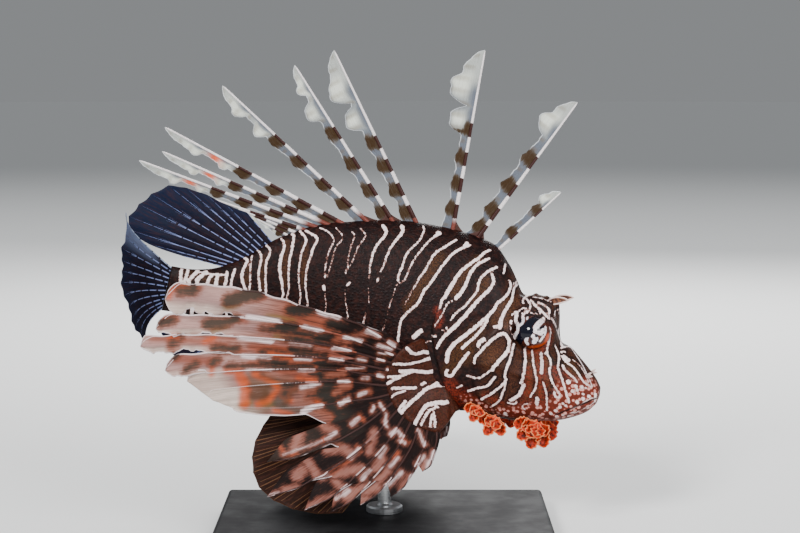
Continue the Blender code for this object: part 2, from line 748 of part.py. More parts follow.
def pelvic_fin(side, sign, clear, fish):
    rows = len(PELVIC_ROWS)
    table = [(k, *ray) for k, ray in enumerate(PELVIC_RAYS)]
    rays = []
    for half in range(2 * len(table) - 1):
        k = half / 2
        length, rise, out = (between(table, k, column) for column in (1, 2, 3))
        root = (PELVIC_ROOT[0] + 2.5 * k, sign * PELVIC_ROOT[1], PELVIC_ROOT[2] + 0.9 * k)
        rays.append(curved_ray(root, length, (rise - 6, rise + 6), (sign * (out - 4), sign * (out + 4)), PELVIC_ROWS))
    taper = tapered(RAY_ROOT, RAY_TIP)
    mesh = sheet_fin(
        rays, [rows - 1] * (len(rays) - 1), lambda k, j: 0.3 if j < rows - 1 else 0,
        lambda k, j: 0.3 if j < rows - 1 else 0, lambda k, j: taper(j, rows), lambda k: PELVIC_ROOT[0],
        pleated=True,
    )
    return finish_fin(mesh, f"pelvic_fin_{side}", "dark_fin", [clear], fish)


def fringe(name, sign, clear, fish):
    """A flap of skin with a few fingers, spread in a fan from one root."""
    s, l, z, length, rise, out, fingers, spread, broad = FRINGES[name]
    rows = (0, 0.25, 0.55, 0.8, 1)
    rays = []
    for k in range(fingers):
        turn = rise + spread * (k / (fingers - 1) - 0.5)
        reach = length * (1 - 0.25 * abs(2 * k / (fingers - 1) - 1))
        # the angles are above straight ahead, and rays are drawn above straight back
        away = (sign * out, sign * (out + 14 * math.cos(3 * k)))
        rays.append(curved_ray((s, sign * l, z), reach, (180 - turn, 180 - turn), away, rows))
    for k, ray in enumerate(rays):
        turn = math.radians(180 - rise - spread * (k / (fingers - 1) - 0.5))
        for point in ray:
            point += Vector((math.cos(turn), 0, math.sin(turn))) * 1.2
    mesh = sheet_fin(
        rays, [2 if fingers > 3 else 3] * (fingers - 1), lambda k, j: 0 if j == 4 else broad * (0.2 if j < 1 else 0.45),
        lambda k, j: 0 if j == 4 else broad * (0.2 if j < 1 else 0.45), lambda k, j: 1.1 - 0.08 * j, lambda k: s,
        pleated=True,
    )
    side = "right" if sign < 0 else "left"
    return finish_fin(mesh, f"{name}_{side}", "fringe", [clear], fish)


def stand(clear, fish):
    """A flat base and one rod with a collar, its top cut to the belly."""
    base = bmesh.new()
    bmesh.ops.create_cube(base, size=1)
    for vertex in base.verts:
        vertex.co = Vector(a * b * MM for a, b in zip(vertex.co, BASE_SIZE)) + Vector((0, 0, BASE_SIZE[2] / 2 * MM))
    plate = into_object(base, "stand_base", "base", fish)
    bevel = plate.modifiers.new("bevel", "BEVEL")
    bevel.width = BASE_BEVEL * MM
    bevel.segments = 3
    foot = BASE_SIZE[2] + GAP
    top = SNOUT_HEIGHT + ROD_STATION * math.sin(NOSE_DOWN) - 30
    profile = bmesh.new()
    corners = ((0, top), (ROD_RADIUS, top), (ROD_RADIUS, foot + COLLAR_HEIGHT + 1), (ROD_RADIUS + 1, foot + COLLAR_HEIGHT),
               (COLLAR_RADIUS - 1, foot + COLLAR_HEIGHT), (COLLAR_RADIUS, foot + COLLAR_HEIGHT - 1), (COLLAR_RADIUS, foot), (0, foot))
    points = [profile.verts.new((x * MM, 0, z * MM)) for x, z in corners]
    edges = [profile.edges.new(pair) for pair in zip(points, points[1:])]
    bmesh.ops.spin(profile, geom=points + edges, cent=(0, 0, 0), axis=(0, 0, 1), angle=2 * math.pi, steps=24, use_merge=True)
    bmesh.ops.remove_doubles(profile, verts=profile.verts[:], dist=1e-6)
    bmesh.ops.recalc_face_normals(profile, faces=profile.faces[:])
    rod = into_object(profile, "stand_rod", "rod", fish)
    cut(rod, [clear])
    rod.data.shade_smooth()
    rod.data.set_sharp_from_angle(angle=math.radians(35))


def main():
    for old in list(bpy.data.objects):
        bpy.data.objects.remove(old)
    fish = bpy.data.collections.new("red_lionfish")
    guides = bpy.data.collections.new("cutters")
    bpy.context.scene.collection.children.link(fish)
    bpy.context.scene.collection.children.link(guides)

    clear = part_body(fish, guides)
    for side, sign, spread, drop in (("right", -1, RIGHT_SPREAD, 0), ("left", 1, LEFT_SPREAD, LEFT_DROP)):
        pad = pectoral_pad(side, sign, clear, fish, guides)
        pectoral_fin(side, sign, spread, drop, [pad, clear], fish)
        pelvic_fin(side, sign, clear, fish)
        for name in FRINGES:
            fringe(name, sign, clear, fish)
    dorsal_spines(clear, fish)
    median_fin("soft_dorsal_fin", SOFT_DORSAL_RAYS, 3, "dark_fin", [clear], fish)
    median_fin("anal_fin", ANAL_RAYS, 3, "dark_fin", [clear], fish)
    tail_fin(clear, fish)
    stand(clear, fish)
    for guide in guides.objects:
        guide.hide_render = True
        guide.display_type = "WIRE"


main()
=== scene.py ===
import math

import bpy
import numpy as np
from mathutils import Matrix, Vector
from mathutils.bvhtree import BVHTree


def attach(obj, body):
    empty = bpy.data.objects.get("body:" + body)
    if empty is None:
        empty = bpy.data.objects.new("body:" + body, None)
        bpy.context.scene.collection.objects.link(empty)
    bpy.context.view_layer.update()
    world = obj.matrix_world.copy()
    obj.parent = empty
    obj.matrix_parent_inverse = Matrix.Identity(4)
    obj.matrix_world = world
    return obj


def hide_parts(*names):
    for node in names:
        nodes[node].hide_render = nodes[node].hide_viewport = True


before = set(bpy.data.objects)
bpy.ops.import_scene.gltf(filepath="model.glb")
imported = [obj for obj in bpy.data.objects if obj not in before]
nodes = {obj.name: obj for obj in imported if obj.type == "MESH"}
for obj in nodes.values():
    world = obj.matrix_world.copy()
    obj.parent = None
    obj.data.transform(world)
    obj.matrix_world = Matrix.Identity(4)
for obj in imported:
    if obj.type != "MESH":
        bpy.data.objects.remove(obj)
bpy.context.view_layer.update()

# A life-size red lionfish, nose down over its display stand.
# The fish is drawn straight and level first: s runs back from the snout, l to its left side and
# z to its back, all in mm. swim() bends and tips it into the pose, in metres.


# camera, floor and lights

picture = {"width": 800, "height": 533}
shot = {
    "target": (0.0095, 0, 0.1616),
    "distance": 1.15,
    "elevation": 6,
    "lens": 86.25,
    "sensor": 36,
    "clip": (0.05, 60),
}


def viewAxes():
    tilt = math.radians(shot["elevation"])
    forward = np.array((0, math.cos(tilt), -math.sin(tilt)))
    upward = np.array((0, math.sin(tilt), math.cos(tilt)))
    return forward, upward, np.array(shot["target"]) - forward * shot["distance"]


def pixelRay(u, v):
    forward, upward, _ = viewAxes()
    reach = shot["sensor"] / shot["lens"] / picture["width"]
    away = forward + upward * (picture["height"] / 2 - v) * reach
    away[0] += (u - picture["width"] / 2) * reach
    return away / np.linalg.norm(away)


def linked(name, data):
    made = bpy.data.objects.new(name, data)
    bpy.context.scene.collection.objects.link(made)
    return made


def addCamera():
    data = bpy.data.cameras.new("camera")
    data.lens = shot["lens"]
    data.sensor_width = shot["sensor"]
    data.clip_start, data.clip_end = shot["clip"]
    camera = linked("camera", data)
    camera.location = viewAxes()[2]
    camera.rotation_euler = (math.radians(90 - shot["elevation"]), 0, 0)
    bpy.context.scene.camera = camera


studio = {
    "floorRadius": 14,
    "floorSides": 96,
    "floorRoughness": 0.95,
    "floorColour": (0.79, 0.79, 0.78),
    # painted shade of the far floor, darker than its pale colour near the stand
    "farFloorShade": (0.245, 0.25, 0.252),
    "floorLightFalloff": (0.9, 4.5),  # metres from the stand where the painted pool of light on the floor starts to darken into painted shade, and where it stops
    "airColour": (0.90, 0.95, 1.0),
    "airStrength": 0.46,
    "backdrop": (0.2465, 0.256, 0.264),  # what the camera sees above the floor, in the tone of its far end
    "sun": ((-0.55, -0.9, 0.8), 3.5, 14),  # where it stands, its strength, and its breadth in degrees
    # place, size and power of each soft light, all aimed at the fish
    "lights": {
        "front": ((0.75, -1.25, 0.8), 0.7, 21),
        "back": ((0.2, 1.2, 0.95), 0.8, 24),
    },
}


def aimed(name, data, place):
    lamp = linked(name, data)
    lamp.location = place
    aim = Vector(shot["target"]) - Vector(place)
    lamp.rotation_euler = aim.to_track_quat("-Z", "Y").to_euler()


def addWorld():
    # the camera sees the backdrop, and everything else is lit by the air
    world = bpy.data.worlds.new("studio")
    world.use_nodes = True
    tree = world.node_tree
    air = tree.nodes["Background"]
    air.inputs["Color"].default_value = (*studio["airColour"], 1)
    air.inputs["Strength"].default_value = studio["airStrength"]
    seen = tree.nodes.new("ShaderNodeBackground")
    seen.inputs["Color"].default_value = (*studio["backdrop"], 1)
    path, either = tree.nodes.new("ShaderNodeLightPath"), tree.nodes.new("ShaderNodeMixShader")
    surface = tree.nodes["World Output"].inputs["Surface"]
    for outlet, inlet in (
        (path.outputs["Is Camera Ray"], either.inputs[0]), (air.outputs[0], either.inputs[1]),
        (seen.outputs[0], either.inputs[2]), (either.outputs[0], surface),
    ):
        tree.links.new(outlet, inlet)
    bpy.context.scene.world = world


def addFloor():
    sides, radius = studio["floorSides"], studio["floorRadius"]
    turns = [2 * math.pi * k / sides for k in range(sides)]
    data = bpy.data.meshes.new("floor")
    rim = [(radius * math.cos(a), radius * math.sin(a), 0) for a in turns]
    data.from_pydata(rim, [], [list(range(sides))])
    paper, shade, shader = newMaterial("palePaper", studio["floorRoughness"], gloss=0.1)
    # painted light: the floor is pale round the stand and darkens into painted shade further out
    away = shade.node("ShaderNodeVectorMath", {"operation": "LENGTH"}, Vector=shade.place()).outputs["Value"]
    far = shade.between(away, *studio["floorLightFalloff"])
    shade.feed(shader.inputs["Base Color"], shade.mix(far, studio["floorColour"], studio["farFloorShade"]))
    data.materials.append(paper)
    linked("floor", data)


def addLights():
    place, strength, breadth = studio["sun"]
    sun = bpy.data.lights.new("sun", "SUN")
    sun.energy, sun.angle = strength, math.radians(breadth)
    aimed("sun", sun, place)
    for name, (place, size, power) in studio["lights"].items():
        light = bpy.data.lights.new(name, "AREA")
        light.size, light.energy = size, power
        aimed(name, light, place)


# the pose, the same as in the solids

mm = 0.001
pose = {
    "noseDown": math.radians(13.5),
    "headTurn": math.radians(-13),
    "tailTurn": math.radians(21),
    "tailFinCurl": math.radians(1.3),  # for each mm of the tail fin
    "bendFrom": 60,
    "bendTo": 262,
    "snout": (127, 90),
    "rodStation": 122,
    "courseLength": 360,
}


def heading(s):
    along = np.clip((s - pose["bendFrom"]) / (pose["bendTo"] - pose["bendFrom"]), 0, 1)
    turn = pose["headTurn"] + (pose["tailTurn"] - pose["headTurn"]) * along
    return turn + np.maximum(s - pose["bendTo"], 0) * pose["tailFinCurl"]


def layCourse():
    places = [(0.0, 0.0)]
    for step in range(pose["courseLength"]):
        turn = float(heading(step + 0.5))
        back = 1 if step < pose["bendTo"] else math.cos(turn)
        places.append((places[-1][0] - back, places[-1][1] - back * math.tan(turn)))
    places = np.array(places)
    places[:, 1] -= places[pose["rodStation"], 1]
    return places


course = layCourse()


def swim(points, at=None):
    points = np.asarray(points, float)
    s, l, z = points[..., 0], points[..., 1], points[..., 2]
    at = s if at is None else np.broadcast_to(np.asarray(at, float), s.shape)
    first = np.clip(np.floor(at).astype(int), 0, len(course) - 2)
    share = (at - first)[..., None]
    place = course[first] * (1 - share) + course[first + 1] * share
    turn, back = heading(at), s - at
    x = place[..., 0] - back * np.cos(turn) - l * np.sin(turn)
    y = place[..., 1] - back * np.sin(turn) + l * np.cos(turn)
    down = pose["noseDown"]
    across = pose["snout"][0] + x * math.cos(down) + z * math.sin(down)
    high = pose["snout"][1] - x * math.sin(down) + z * math.cos(down)
    return np.stack((across, y, high), -1) * mm


# meshes and materials

def ramp(x, low, high):
    t = np.clip((x - low) / (high - low), 0, 1)
    return t * t * (3 - 2 * t)


def unit(vectors):
    length = np.linalg.norm(vectors, axis=-1, keepdims=True)
    return vectors / np.maximum(length, 1e-9)


def towards(colour, aim, share):
    # part of the way from one colour to another, by a share at each point
    return colour + (np.array(aim) - colour) * share[..., None]


def gridFaces(rows, columns, closed=False, first=0):
    wide = columns if closed else columns - 1
    r, c = np.meshgrid(np.arange(rows - 1), np.arange(wide), indexing="ij")
    after = (c + 1) % columns
    above, below = r * columns, (r + 1) * columns
    return np.stack((above + c, above + after, below + after, below + c), -1).reshape(-1, 4) + first


def addValues(data, values):
    # named numbers or vectors at the points of a mesh
    for label, numbers in values.items():
        numbers = np.asarray(numbers, np.float32)
        kind, field = ("FLOAT_VECTOR", "vector") if numbers.ndim > 1 else ("FLOAT", "value")
        data.attributes.new(label, kind, "POINT").data.foreach_set(field, numbers.ravel())


def meshObject(name, points, faces, material, values):
    data = bpy.data.meshes.new(name)
    data.from_pydata(points.tolist(), [], faces)
    data.update()
    addValues(data, values)
    data.shade_smooth()
    data.materials.append(material)
    return linked(name, data)


def finished(piece):
    # the evaluated mesh takes the place of the mesh and its modifiers
    graph = bpy.context.evaluated_depsgraph_get()
    data = bpy.data.meshes.new_from_object(piece.evaluated_get(graph))
    piece.modifiers.clear()
    old, piece.data = piece.data, data
    bpy.data.meshes.remove(old)
    return piece


def setOut(piece, slotName, *replaced):
    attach(piece, "root")
    if replaced:
        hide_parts(*replaced)


class Shade:
    # a short way to write a node tree
    def __init__(self, tree):
        self.tree = tree

    def node(self, kind, settings=None, **links):
        made = self.tree.nodes.new(kind)
        for key, value in (settings or {}).items():
            setattr(made, key, value)
        for key, value in links.items():
            self.feed(made.inputs[key.replace("_", " ")], value)
        return made

    def feed(self, socket, value):
        if isinstance(value, bpy.types.NodeSocket):
            self.tree.links.new(value, socket)
        else:
            socket.default_value = (*value, 1) if socket.type == "RGBA" else value

    def inOrder(self, kind, settings, values):
        made = self.node(kind, settings)
        for socket, value in zip(made.inputs, values):
            self.feed(socket, value)
        return made.outputs[0]

    def math(self, operation, a, b):
        return self.inOrder("ShaderNodeMath", {"operation": operation}, (a, b))

    def times(self, a, b):
        return self.math("MULTIPLY", a, b)

    def plus(self, a, b):
        return self.math("ADD", a, b)

    def between(self, value, low, high, toLow=0.0, toHigh=1.0):
        settings = {"interpolation_type": "SMOOTHSTEP"}
        return self.inOrder("ShaderNodeMapRange", settings, (value, low, high, toLow, toHigh))

    def attribute(self, name, output="Fac"):
        return self.node("ShaderNodeAttribute", {"attribute_name": name}).outputs[output]

    def place(self):
        return self.node("ShaderNodeTexCoord").outputs["Object"]

    def squeezed(self, vector, scale):
        return self.node("ShaderNodeMapping", {"vector_type": "POINT"}, Vector=vector, Scale=scale).outputs[0]

    def noise(self, vector, scale, detail=3.0, rough=0.55):
        made = self.node("ShaderNodeTexNoise", Vector=vector, Scale=scale, Detail=detail, Roughness=rough)
        return made.outputs["Fac"]

    def cells(self, vector, scale):
        return self.node("ShaderNodeTexVoronoi", Vector=vector, Scale=scale).outputs["Distance"]

    def mix(self, share, a, b):
        made = self.node("ShaderNodeMix", {"data_type": "RGBA"})
        for name, value in (("Factor_Float", share), ("A_Color", a), ("B_Color", b)):
            self.feed(next(one for one in made.inputs if one.identifier == name), value)
        return next(one for one in made.outputs if one.identifier == "Result_Color")

    def effect(self, group, **links):
        return self.node("ShaderNodeGroup", {"node_tree": group}, **links).outputs

    def finish(self, shader, colour, rough, height, strength, depth):
        bump = self.node("ShaderNodeBump", Height=height, Strength=strength, Distance=depth).outputs["Normal"]
        for label, value in (("Base Color", colour), ("Roughness", rough), ("Normal", bump)):
            self.feed(shader.inputs[label], value)


def newMaterial(name, roughness, gloss=0.5, coat=0.0, coatRoughness=0.1, metallic=0.0):
    made = bpy.data.materials.new(name)
    made.use_nodes = True
    shader = made.node_tree.nodes["Principled BSDF"]
    for label, value in (
        ("Roughness", roughness), ("Specular IOR Level", gloss), ("Coat Weight", coat),
        ("Coat Roughness", coatRoughness), ("Metallic", metallic),
    ):
        shader.inputs[label].default_value = value
    return made, Shade(made.node_tree), shader


def effectGroup(name, inlets, outlets, build):
    # an effect that several materials share
    tree = bpy.data.node_groups.new(name, "ShaderNodeTree")
    for way, sockets in (("INPUT", inlets), ("OUTPUT", outlets)):
        for label, kind in sockets.items():
            tree.interface.new_socket(name=label, in_out=way, socket_type=f"NodeSocket{kind}")
    shade = Shade(tree)
    given, end = shade.node("NodeGroupInput").outputs, shade.node("NodeGroupOutput")
    for label, value in build(shade, given).items():
        shade.feed(end.inputs[label], value)
    return tree


def wanderNodes(shade, given):
    noise = shade.noise(given["Vector"], given["Scale"], given["Detail"], given["Roughness"])
    return {"Wander": shade.times(shade.math("SUBTRACT", noise, 0.5), given["Reach"])}


raggedEdge = effectGroup(
    "raggedEdge",
    {"Vector": "Vector", "Scale": "Float", "Detail": "Float", "Roughness": "Float", "Reach": "Float"},
    {"Wander": "Float"}, wanderNodes,
)


def ragged(shade, vector, scale, detail, rough, reach):
    # how far the edge of a mark wanders at each place
    made = shade.effect(raggedEdge, Vector=vector, Scale=scale, Detail=detail, Roughness=rough, Reach=reach)
    return made["Wander"]


addCamera()
addWorld()
addFloor()
addLights()
print("camera, floor and lights are up")


# the body: its sections, then its bumps and edges

fish = {
    # behind the snout: back, belly, half width, height of the widest point
    "stations": np.array((
        (-0.5, 2.5, -8, 7, -2.5), (3, 6.8, -13.5, 11, -4), (11, 13.5, -19.5, 14, -4),
        (20, 19.5, -24, 16.5, -3), (27, 21.5, -26, 18, -1), (31, 27, -27.5, 18.7, 1),
        (37, 38, -29, 19.5, 4), (45, 43.5, -30.5, 20.5, 8), (55, 44, -31.5, 21.3, 10),
        (66, 57, -31.5, 22, 12), (78, 68, -32.5, 22.3, 13), (92, 71, -34.5, 22.2, 13),
        (112, 71.5, -36.5, 21.3, 12), (132, 70, -37, 19.6, 11), (160, 63.5, -35, 16.2, 9),
        (185, 55, -30.5, 12.8, 7), (205, 43, -24, 10, 5), (222, 27.5, -18, 7.6, 4),
        (236, 18, -14.5, 5.7, 2), (250, 14, -13, 4.4, 0), (262, 13.5, -13.5, 3, 0),
    ), float),
    # bumps and hollows on both sides: s, l, z, radius, height
    "relief": (
        (33.5, 7.5, 29.5, 5, 7), (38, 7.5, 34.5, 5, 8.5), (45.5, 7.5, 40, 6, 5), (52, 8, 41.5, 5, 3.5),
        (61, 10, 52, 5, 1.5), (48, 0, 43, 7, -4), (68, 7, 58, 4, 1.6), (24, 5, 20, 5, 1.6),
        (13, 8, 13, 3, 1.4), (30, 17.5, 0, 6, 1.2), (42, 19.5, 2, 6, 1.6), (54, 21, 3, 6, 1.4),
        (66, 22, 2, 6, 1.2), (74, 21.5, -12, 7, 1.4), (66, 19, -22, 6, 1.2), (33, 18, 12, 5, -1.5),
    ),
    # small bony points of the head: s, l, z, radius, height
    "points": (
        (37, 9, 43, 1.6, 1.3), (43, 9, 45.5, 1.5, 1.2), (50, 9, 45, 1.5, 1.2), (56, 10, 47, 1.5, 1),
        (62, 10.5, 52, 1.6, 1.2), (67, 9, 58, 1.6, 1.2), (34, 19, -2, 1.5, 0.9), (43, 20.5, 0.5, 1.5, 0.9),
        (52, 21.5, 2, 1.5, 0.9), (61, 22, 3, 1.5, 0.9), (70, 22.5, 2.5, 1.5, 0.9), (69, 22.5, -7, 1.5, 0.9),
        (67, 21.5, -14, 1.5, 0.8), (62, 20, -20, 1.5, 0.8), (14, 8.5, 13.5, 1.3, -1.6),
        (12.4, 8.6, 12, 1, 0.7),
    ),
    # ridges and creases in side view: the line, its breadth and height, and how far out it starts
    "ridges": (
        (((24, 1), (40, -0.5), (56, 1.5), (72, 0.5)), 1.3, 0.8, 8),
        (((61, 24), (69, 10), (70.5, -8), (63, -20), (50, -26.5)), 1.2, 0.7, 8),
        (((20, 6), (27, 12), (33, 20)), 1.4, 0.6, 6),
        (((74, 30), (84, 27), (95, 25)), 1.8, 0.5, 8),
    ),
    "gillEdge": (
        (78, 84), (76.5, 69), (91, 45), (101.5, 24), (102.5, 14), (97, 0), (90, -13), (83, -23), (76, -31),
        (70, -44),
    ),
    "gillFlap": (5, 1.3),
    "mouth": ((-8, 0.5), (0, -4), (6, -8.5), (13, -14), (19, -18.5), (27, -21.5), (33, -40)),
    "lip": (2.6, 1.1),
    "eye": (43.8, 13.5, 25),
    "eyeRadii": (10.6, 8.2, 9.9),
    "orbitRim": (12.5, 2.6, 1.6),
    "orbitFloor": 15.8,
    "skinRows": (0.6, 105, 0.86),  # mm between rows, where they get wider apart, and how far apart then
    "skinColumns": 262,
}


def alongTable(table, x, column):
    # a smooth curve through one column of a table whose first column is x
    last = len(table) - 1
    i = np.clip(np.searchsorted(table[:, 0], x) - 1, 0, last - 1)
    before, after = np.maximum(i - 1, 0), np.minimum(i + 2, last)
    x0, x1, y0, y1 = table[i, 0], table[i + 1, 0], table[i, column], table[i + 1, column]
    slope0 = (y1 - table[before, column]) / (x1 - table[before, 0])
    slope1 = (table[after, column] - y0) / (table[after, 0] - x0)
    step = x1 - x0
    t = np.clip((x - x0) / step, 0, 1)
    return (
        (2 * t ** 3 - 3 * t ** 2 + 1) * y0 + (t ** 3 - 2 * t ** 2 + t) * step * slope0
        + (3 * t ** 2 - 2 * t ** 3) * y1 + (t ** 3 - t ** 2) * step * slope1
    )


def lineDistance(line, s, z):
    # distance from a line in side view, below zero in front of it
    best = np.full(np.shape(s), 1e9)
    for (s0, z0), (s1, z1) in zip(line, line[1:]):
        ds, dz = s1 - s0, z1 - z0
        t = np.clip(((s - s0) * ds + (z - z0) * dz) / (ds * ds + dz * dz), 0, 1)
        away = np.hypot(s - s0 - ds * t, z - z0 - dz * t)
        signed = np.where(ds * (z - z0) - dz * (s - s0) > 0, away, -away)
        best = np.where(away < np.abs(best), signed, best)
    return best


def relief(s, l, z):
    out, side = np.zeros(np.shape(s)), np.abs(l)
    for bs, bl, bz, radius, height in fish["relief"]:
        out += height * np.exp(-((s - bs) ** 2 + (side - bl) ** 2 + (z - bz) ** 2) / radius ** 2)
    rim, breadth, height = fish["orbitRim"]
    eyeS, _, eyeZ = fish["eye"]
    ring = np.hypot(s - eyeS, z - eyeZ) - rim
    out += height * np.exp(-((ring / breadth) ** 2)) * ramp(side, 5.5, 6.5)
    breadth, height = fish["lip"]
    lips = lineDistance(fish["mouth"], s, z)
    front = ramp(s, 23, 20)
    out += front * height * np.exp(-((lips / breadth) ** 2))
    out -= ramp(s, 21.5, 17) * 1.5 * np.exp(-((lips / 0.55) ** 2))
    breadth, height = fish["gillFlap"]
    behind = lineDistance(fish["gillEdge"], s, z)
    flap = height * np.exp(np.minimum(behind, 0) / breadth) * ramp(behind, 0.5, -0.3)
    out += flap * np.clip((26 - z) / 6, 0, 1)
    out -= 0.5 * np.exp(-(((behind - 1.1) / 0.9) ** 2)) * np.clip((26 - z) / 6, 0, 1)
    for line, breadth, height, start in fish["ridges"]:
        away = lineDistance(line, s, z)
        out += height * np.exp(-((away / breadth) ** 2)) * ramp(side, start, start + 3)
    return out


def smallPoints(s, l, z):
    out = np.zeros(np.shape(s))
    for bs, bl, bz, radius, height in fish["points"]:
        away = ((s - bs) ** 2 + ((np.abs(l) - bl) * 0.6) ** 2 + (z - bz) ** 2) / radius ** 2
        out += height * np.exp(-away)
    return out


def roundEye(s, z):
    # distance from the middle of the eye in side view, 1 at its rim
    (eyeS, _, eyeZ), (long, _, high) = fish["eye"], fish["eyeRadii"]
    return np.hypot((s - eyeS) / long, (z - eyeZ) / high)


def bodySurface(s, angle):
    # points of the skin, with the angle measured from the back towards the left side
    back, belly, half, mid = (alongTable(fish["stations"], s, column) for column in (1, 2, 3, 4))
    up, out = np.cos(angle), np.sin(angle)
    upper = up > 0
    height = np.abs(up) ** np.where(upper, 0.92, 0.94)
    z = mid + np.where(upper, (back - mid) * height, (belly - mid) * height)
    l = half * np.sign(out) * np.abs(out) ** np.where(upper, 1.25, 0.88)
    far = np.maximum(np.hypot(l, z - mid), 1e-6)
    away = relief(s, l, z)
    first = np.stack((s, l + l / far * away, z + (z - mid) / far * away), -1)
    away = away + smallPoints(first[..., 0], first[..., 1], first[..., 2])
    l, z = l + l / far * away, z + (z - mid) / far * away
    # the hollow that the eye sits in
    around = roundEye(s, z)
    pressed = np.sign(l) * np.minimum(np.abs(l), fish["orbitFloor"])
    side = ramp(np.abs(l), 6, 9)
    l = l + (pressed - l) * (1 - ramp(around, 0.93, 1.13)) * side
    return np.stack((s, l, z), -1)


def skinGrid():
    step, change, later = fish["skinRows"]
    front, end = fish["stations"][[0, -1], 0]
    rows = np.concatenate((np.arange(front, change, step), np.arange(change, end - 0.4, later), [end]))
    columns = fish["skinColumns"]
    s, angle = np.meshgrid(rows, 2 * np.pi * np.arange(columns) / columns, indexing="ij")
    return bodySurface(s, angle), len(rows), columns


skinPoints, skinRows, skinColumns = skinGrid()
snoutTip = np.array((-1.5, 0, -2.5))
tailEnd = np.array((fish["stations"][-1, 0], 0, 0))
skinFlesh = np.concatenate((skinPoints.reshape(-1, 3), [snoutTip, tailEnd]))
skinWorld = swim(skinFlesh)


def skinFaces():
    # the straight frame is left-handed, so the faces run the other way round in the world
    quads = gridFaces(skinRows, skinColumns, closed=True)
    k = np.arange(skinColumns)
    after = (k + 1) % skinColumns
    tip, end = len(skinFlesh) - 2, len(skinFlesh) - 1
    last = (skinRows - 1) * skinColumns
    faces = [tuple(q) for q in quads.tolist()]
    faces += [(tip, b, a) for a, b in zip(k.tolist(), after.tolist())]
    faces += [(end, last + a, last + b) for a, b in zip(k.tolist(), after.tolist())]
    return faces


skinSides = skinFaces()
print("skin has", len(skinFlesh), "points")


# the fleshy pads that the pectoral fins grow from

pad = {
    "centre": (88, -14, -17),
    "reach": 28,
    "lengthened": 1.18,
    "flare": 16.5,
    "thick": (7.5, 4.2),
    "drawnIn": 0.36,  # share by which it is shorter at its front end
    "turns": (66, -128),  # degrees round the centre, in side view
    "station": 98,
    "rows": 30,
    "columns": 92,
}


def padMiddle(radius, turn, sign, endsIn=False):
    cs, cl, cz = pad["centre"]
    flare = pad["flare"] * (radius / pad["reach"]) ** 1.7
    if endsIn:
        # beyond the rays the pad turns in towards the body
        flare = flare * ramp(np.degrees(turn), 68, 38) * ramp(np.degrees(turn), -130, -100)
    return np.stack((
        cs + radius * np.cos(turn) * pad["lengthened"],
        sign * (-cl + flare) + 0 * turn,
        cz + radius * np.sin(turn),
    ), -1)


def padSurface(sign):
    # both faces of the pad, closed at its rim
    radius = 3 + (pad["reach"] - 3) * np.sin(np.linspace(0, np.pi / 2, pad["rows"]))
    turn = np.radians(np.linspace(*pad["turns"], pad["columns"]))
    r, t = np.meshgrid(radius, turn, indexing="ij")
    r = r * (1 - pad["drawnIn"] * ramp(np.degrees(t), -94, -122))
    middle = padMiddle(r, t, sign, True)
    along = padMiddle(r + 0.1, t, sign, True) - padMiddle(r - 0.1, t, sign, True)
    around = padMiddle(r, t + 0.01, sign, True) - padMiddle(r, t - 0.01, sign, True)
    normal = unit(np.cross(along, around))
    normal *= np.sign(normal[..., 1:2] * sign)
    share = np.meshgrid(radius, turn, indexing="ij")[0] / pad["reach"]
    thick = pad["thick"][0] + (pad["thick"][1] - pad["thick"][0]) * share
    edge = np.minimum(np.degrees(t) - pad["turns"][1], pad["turns"][0] - np.degrees(t)) * np.pi / 180 * r
    fall = np.sqrt(np.clip(edge / (thick / 2), 0, 1) * (2 - np.clip(edge / (thick / 2), 0, 1)))
    rim = np.clip((1 - share) * pad["reach"] / 1.6, 0, 1)
    fall = fall * np.sqrt(rim * (2 - rim))
    # low ribs where the rays begin
    ribs = 0.35 * np.cos((np.degrees(t) - 32) / 128 * 13 * 2 * np.pi) * ramp(share, 0.55, 0.95)
    outer = middle + normal * ((thick / 2 + ribs) * fall)[..., None]
    inner = middle - normal * (thick / 2 * fall)[..., None]
    return outer, inner


def padMesh(sign):
    outer, inner = padSurface(sign)
    rows, columns = outer.shape[:2]
    points = np.concatenate((outer.reshape(-1, 3), inner.reshape(-1, 3)))
    top = gridFaces(rows, columns)
    low = gridFaces(rows, columns, first=rows * columns)
    faces = [tuple(q) for q in top.tolist()] + [tuple(q[::-1]) for q in low.tolist()]
    if sign > 0:
        faces = [face[::-1] for face in faces]
    # the two faces are closed at the inner end, which lies deep inside the body
    off = rows * columns
    for k in range(columns - 1):
        quad = (k, off + k, off + k + 1, k + 1)
        faces.append(quad if sign < 0 else quad[::-1])
    return points, faces


# the markings: each line is drawn on the picture of the fish's right side and laid on its skin.
# width at the start and at the end in pixels, then points of the line in pixels

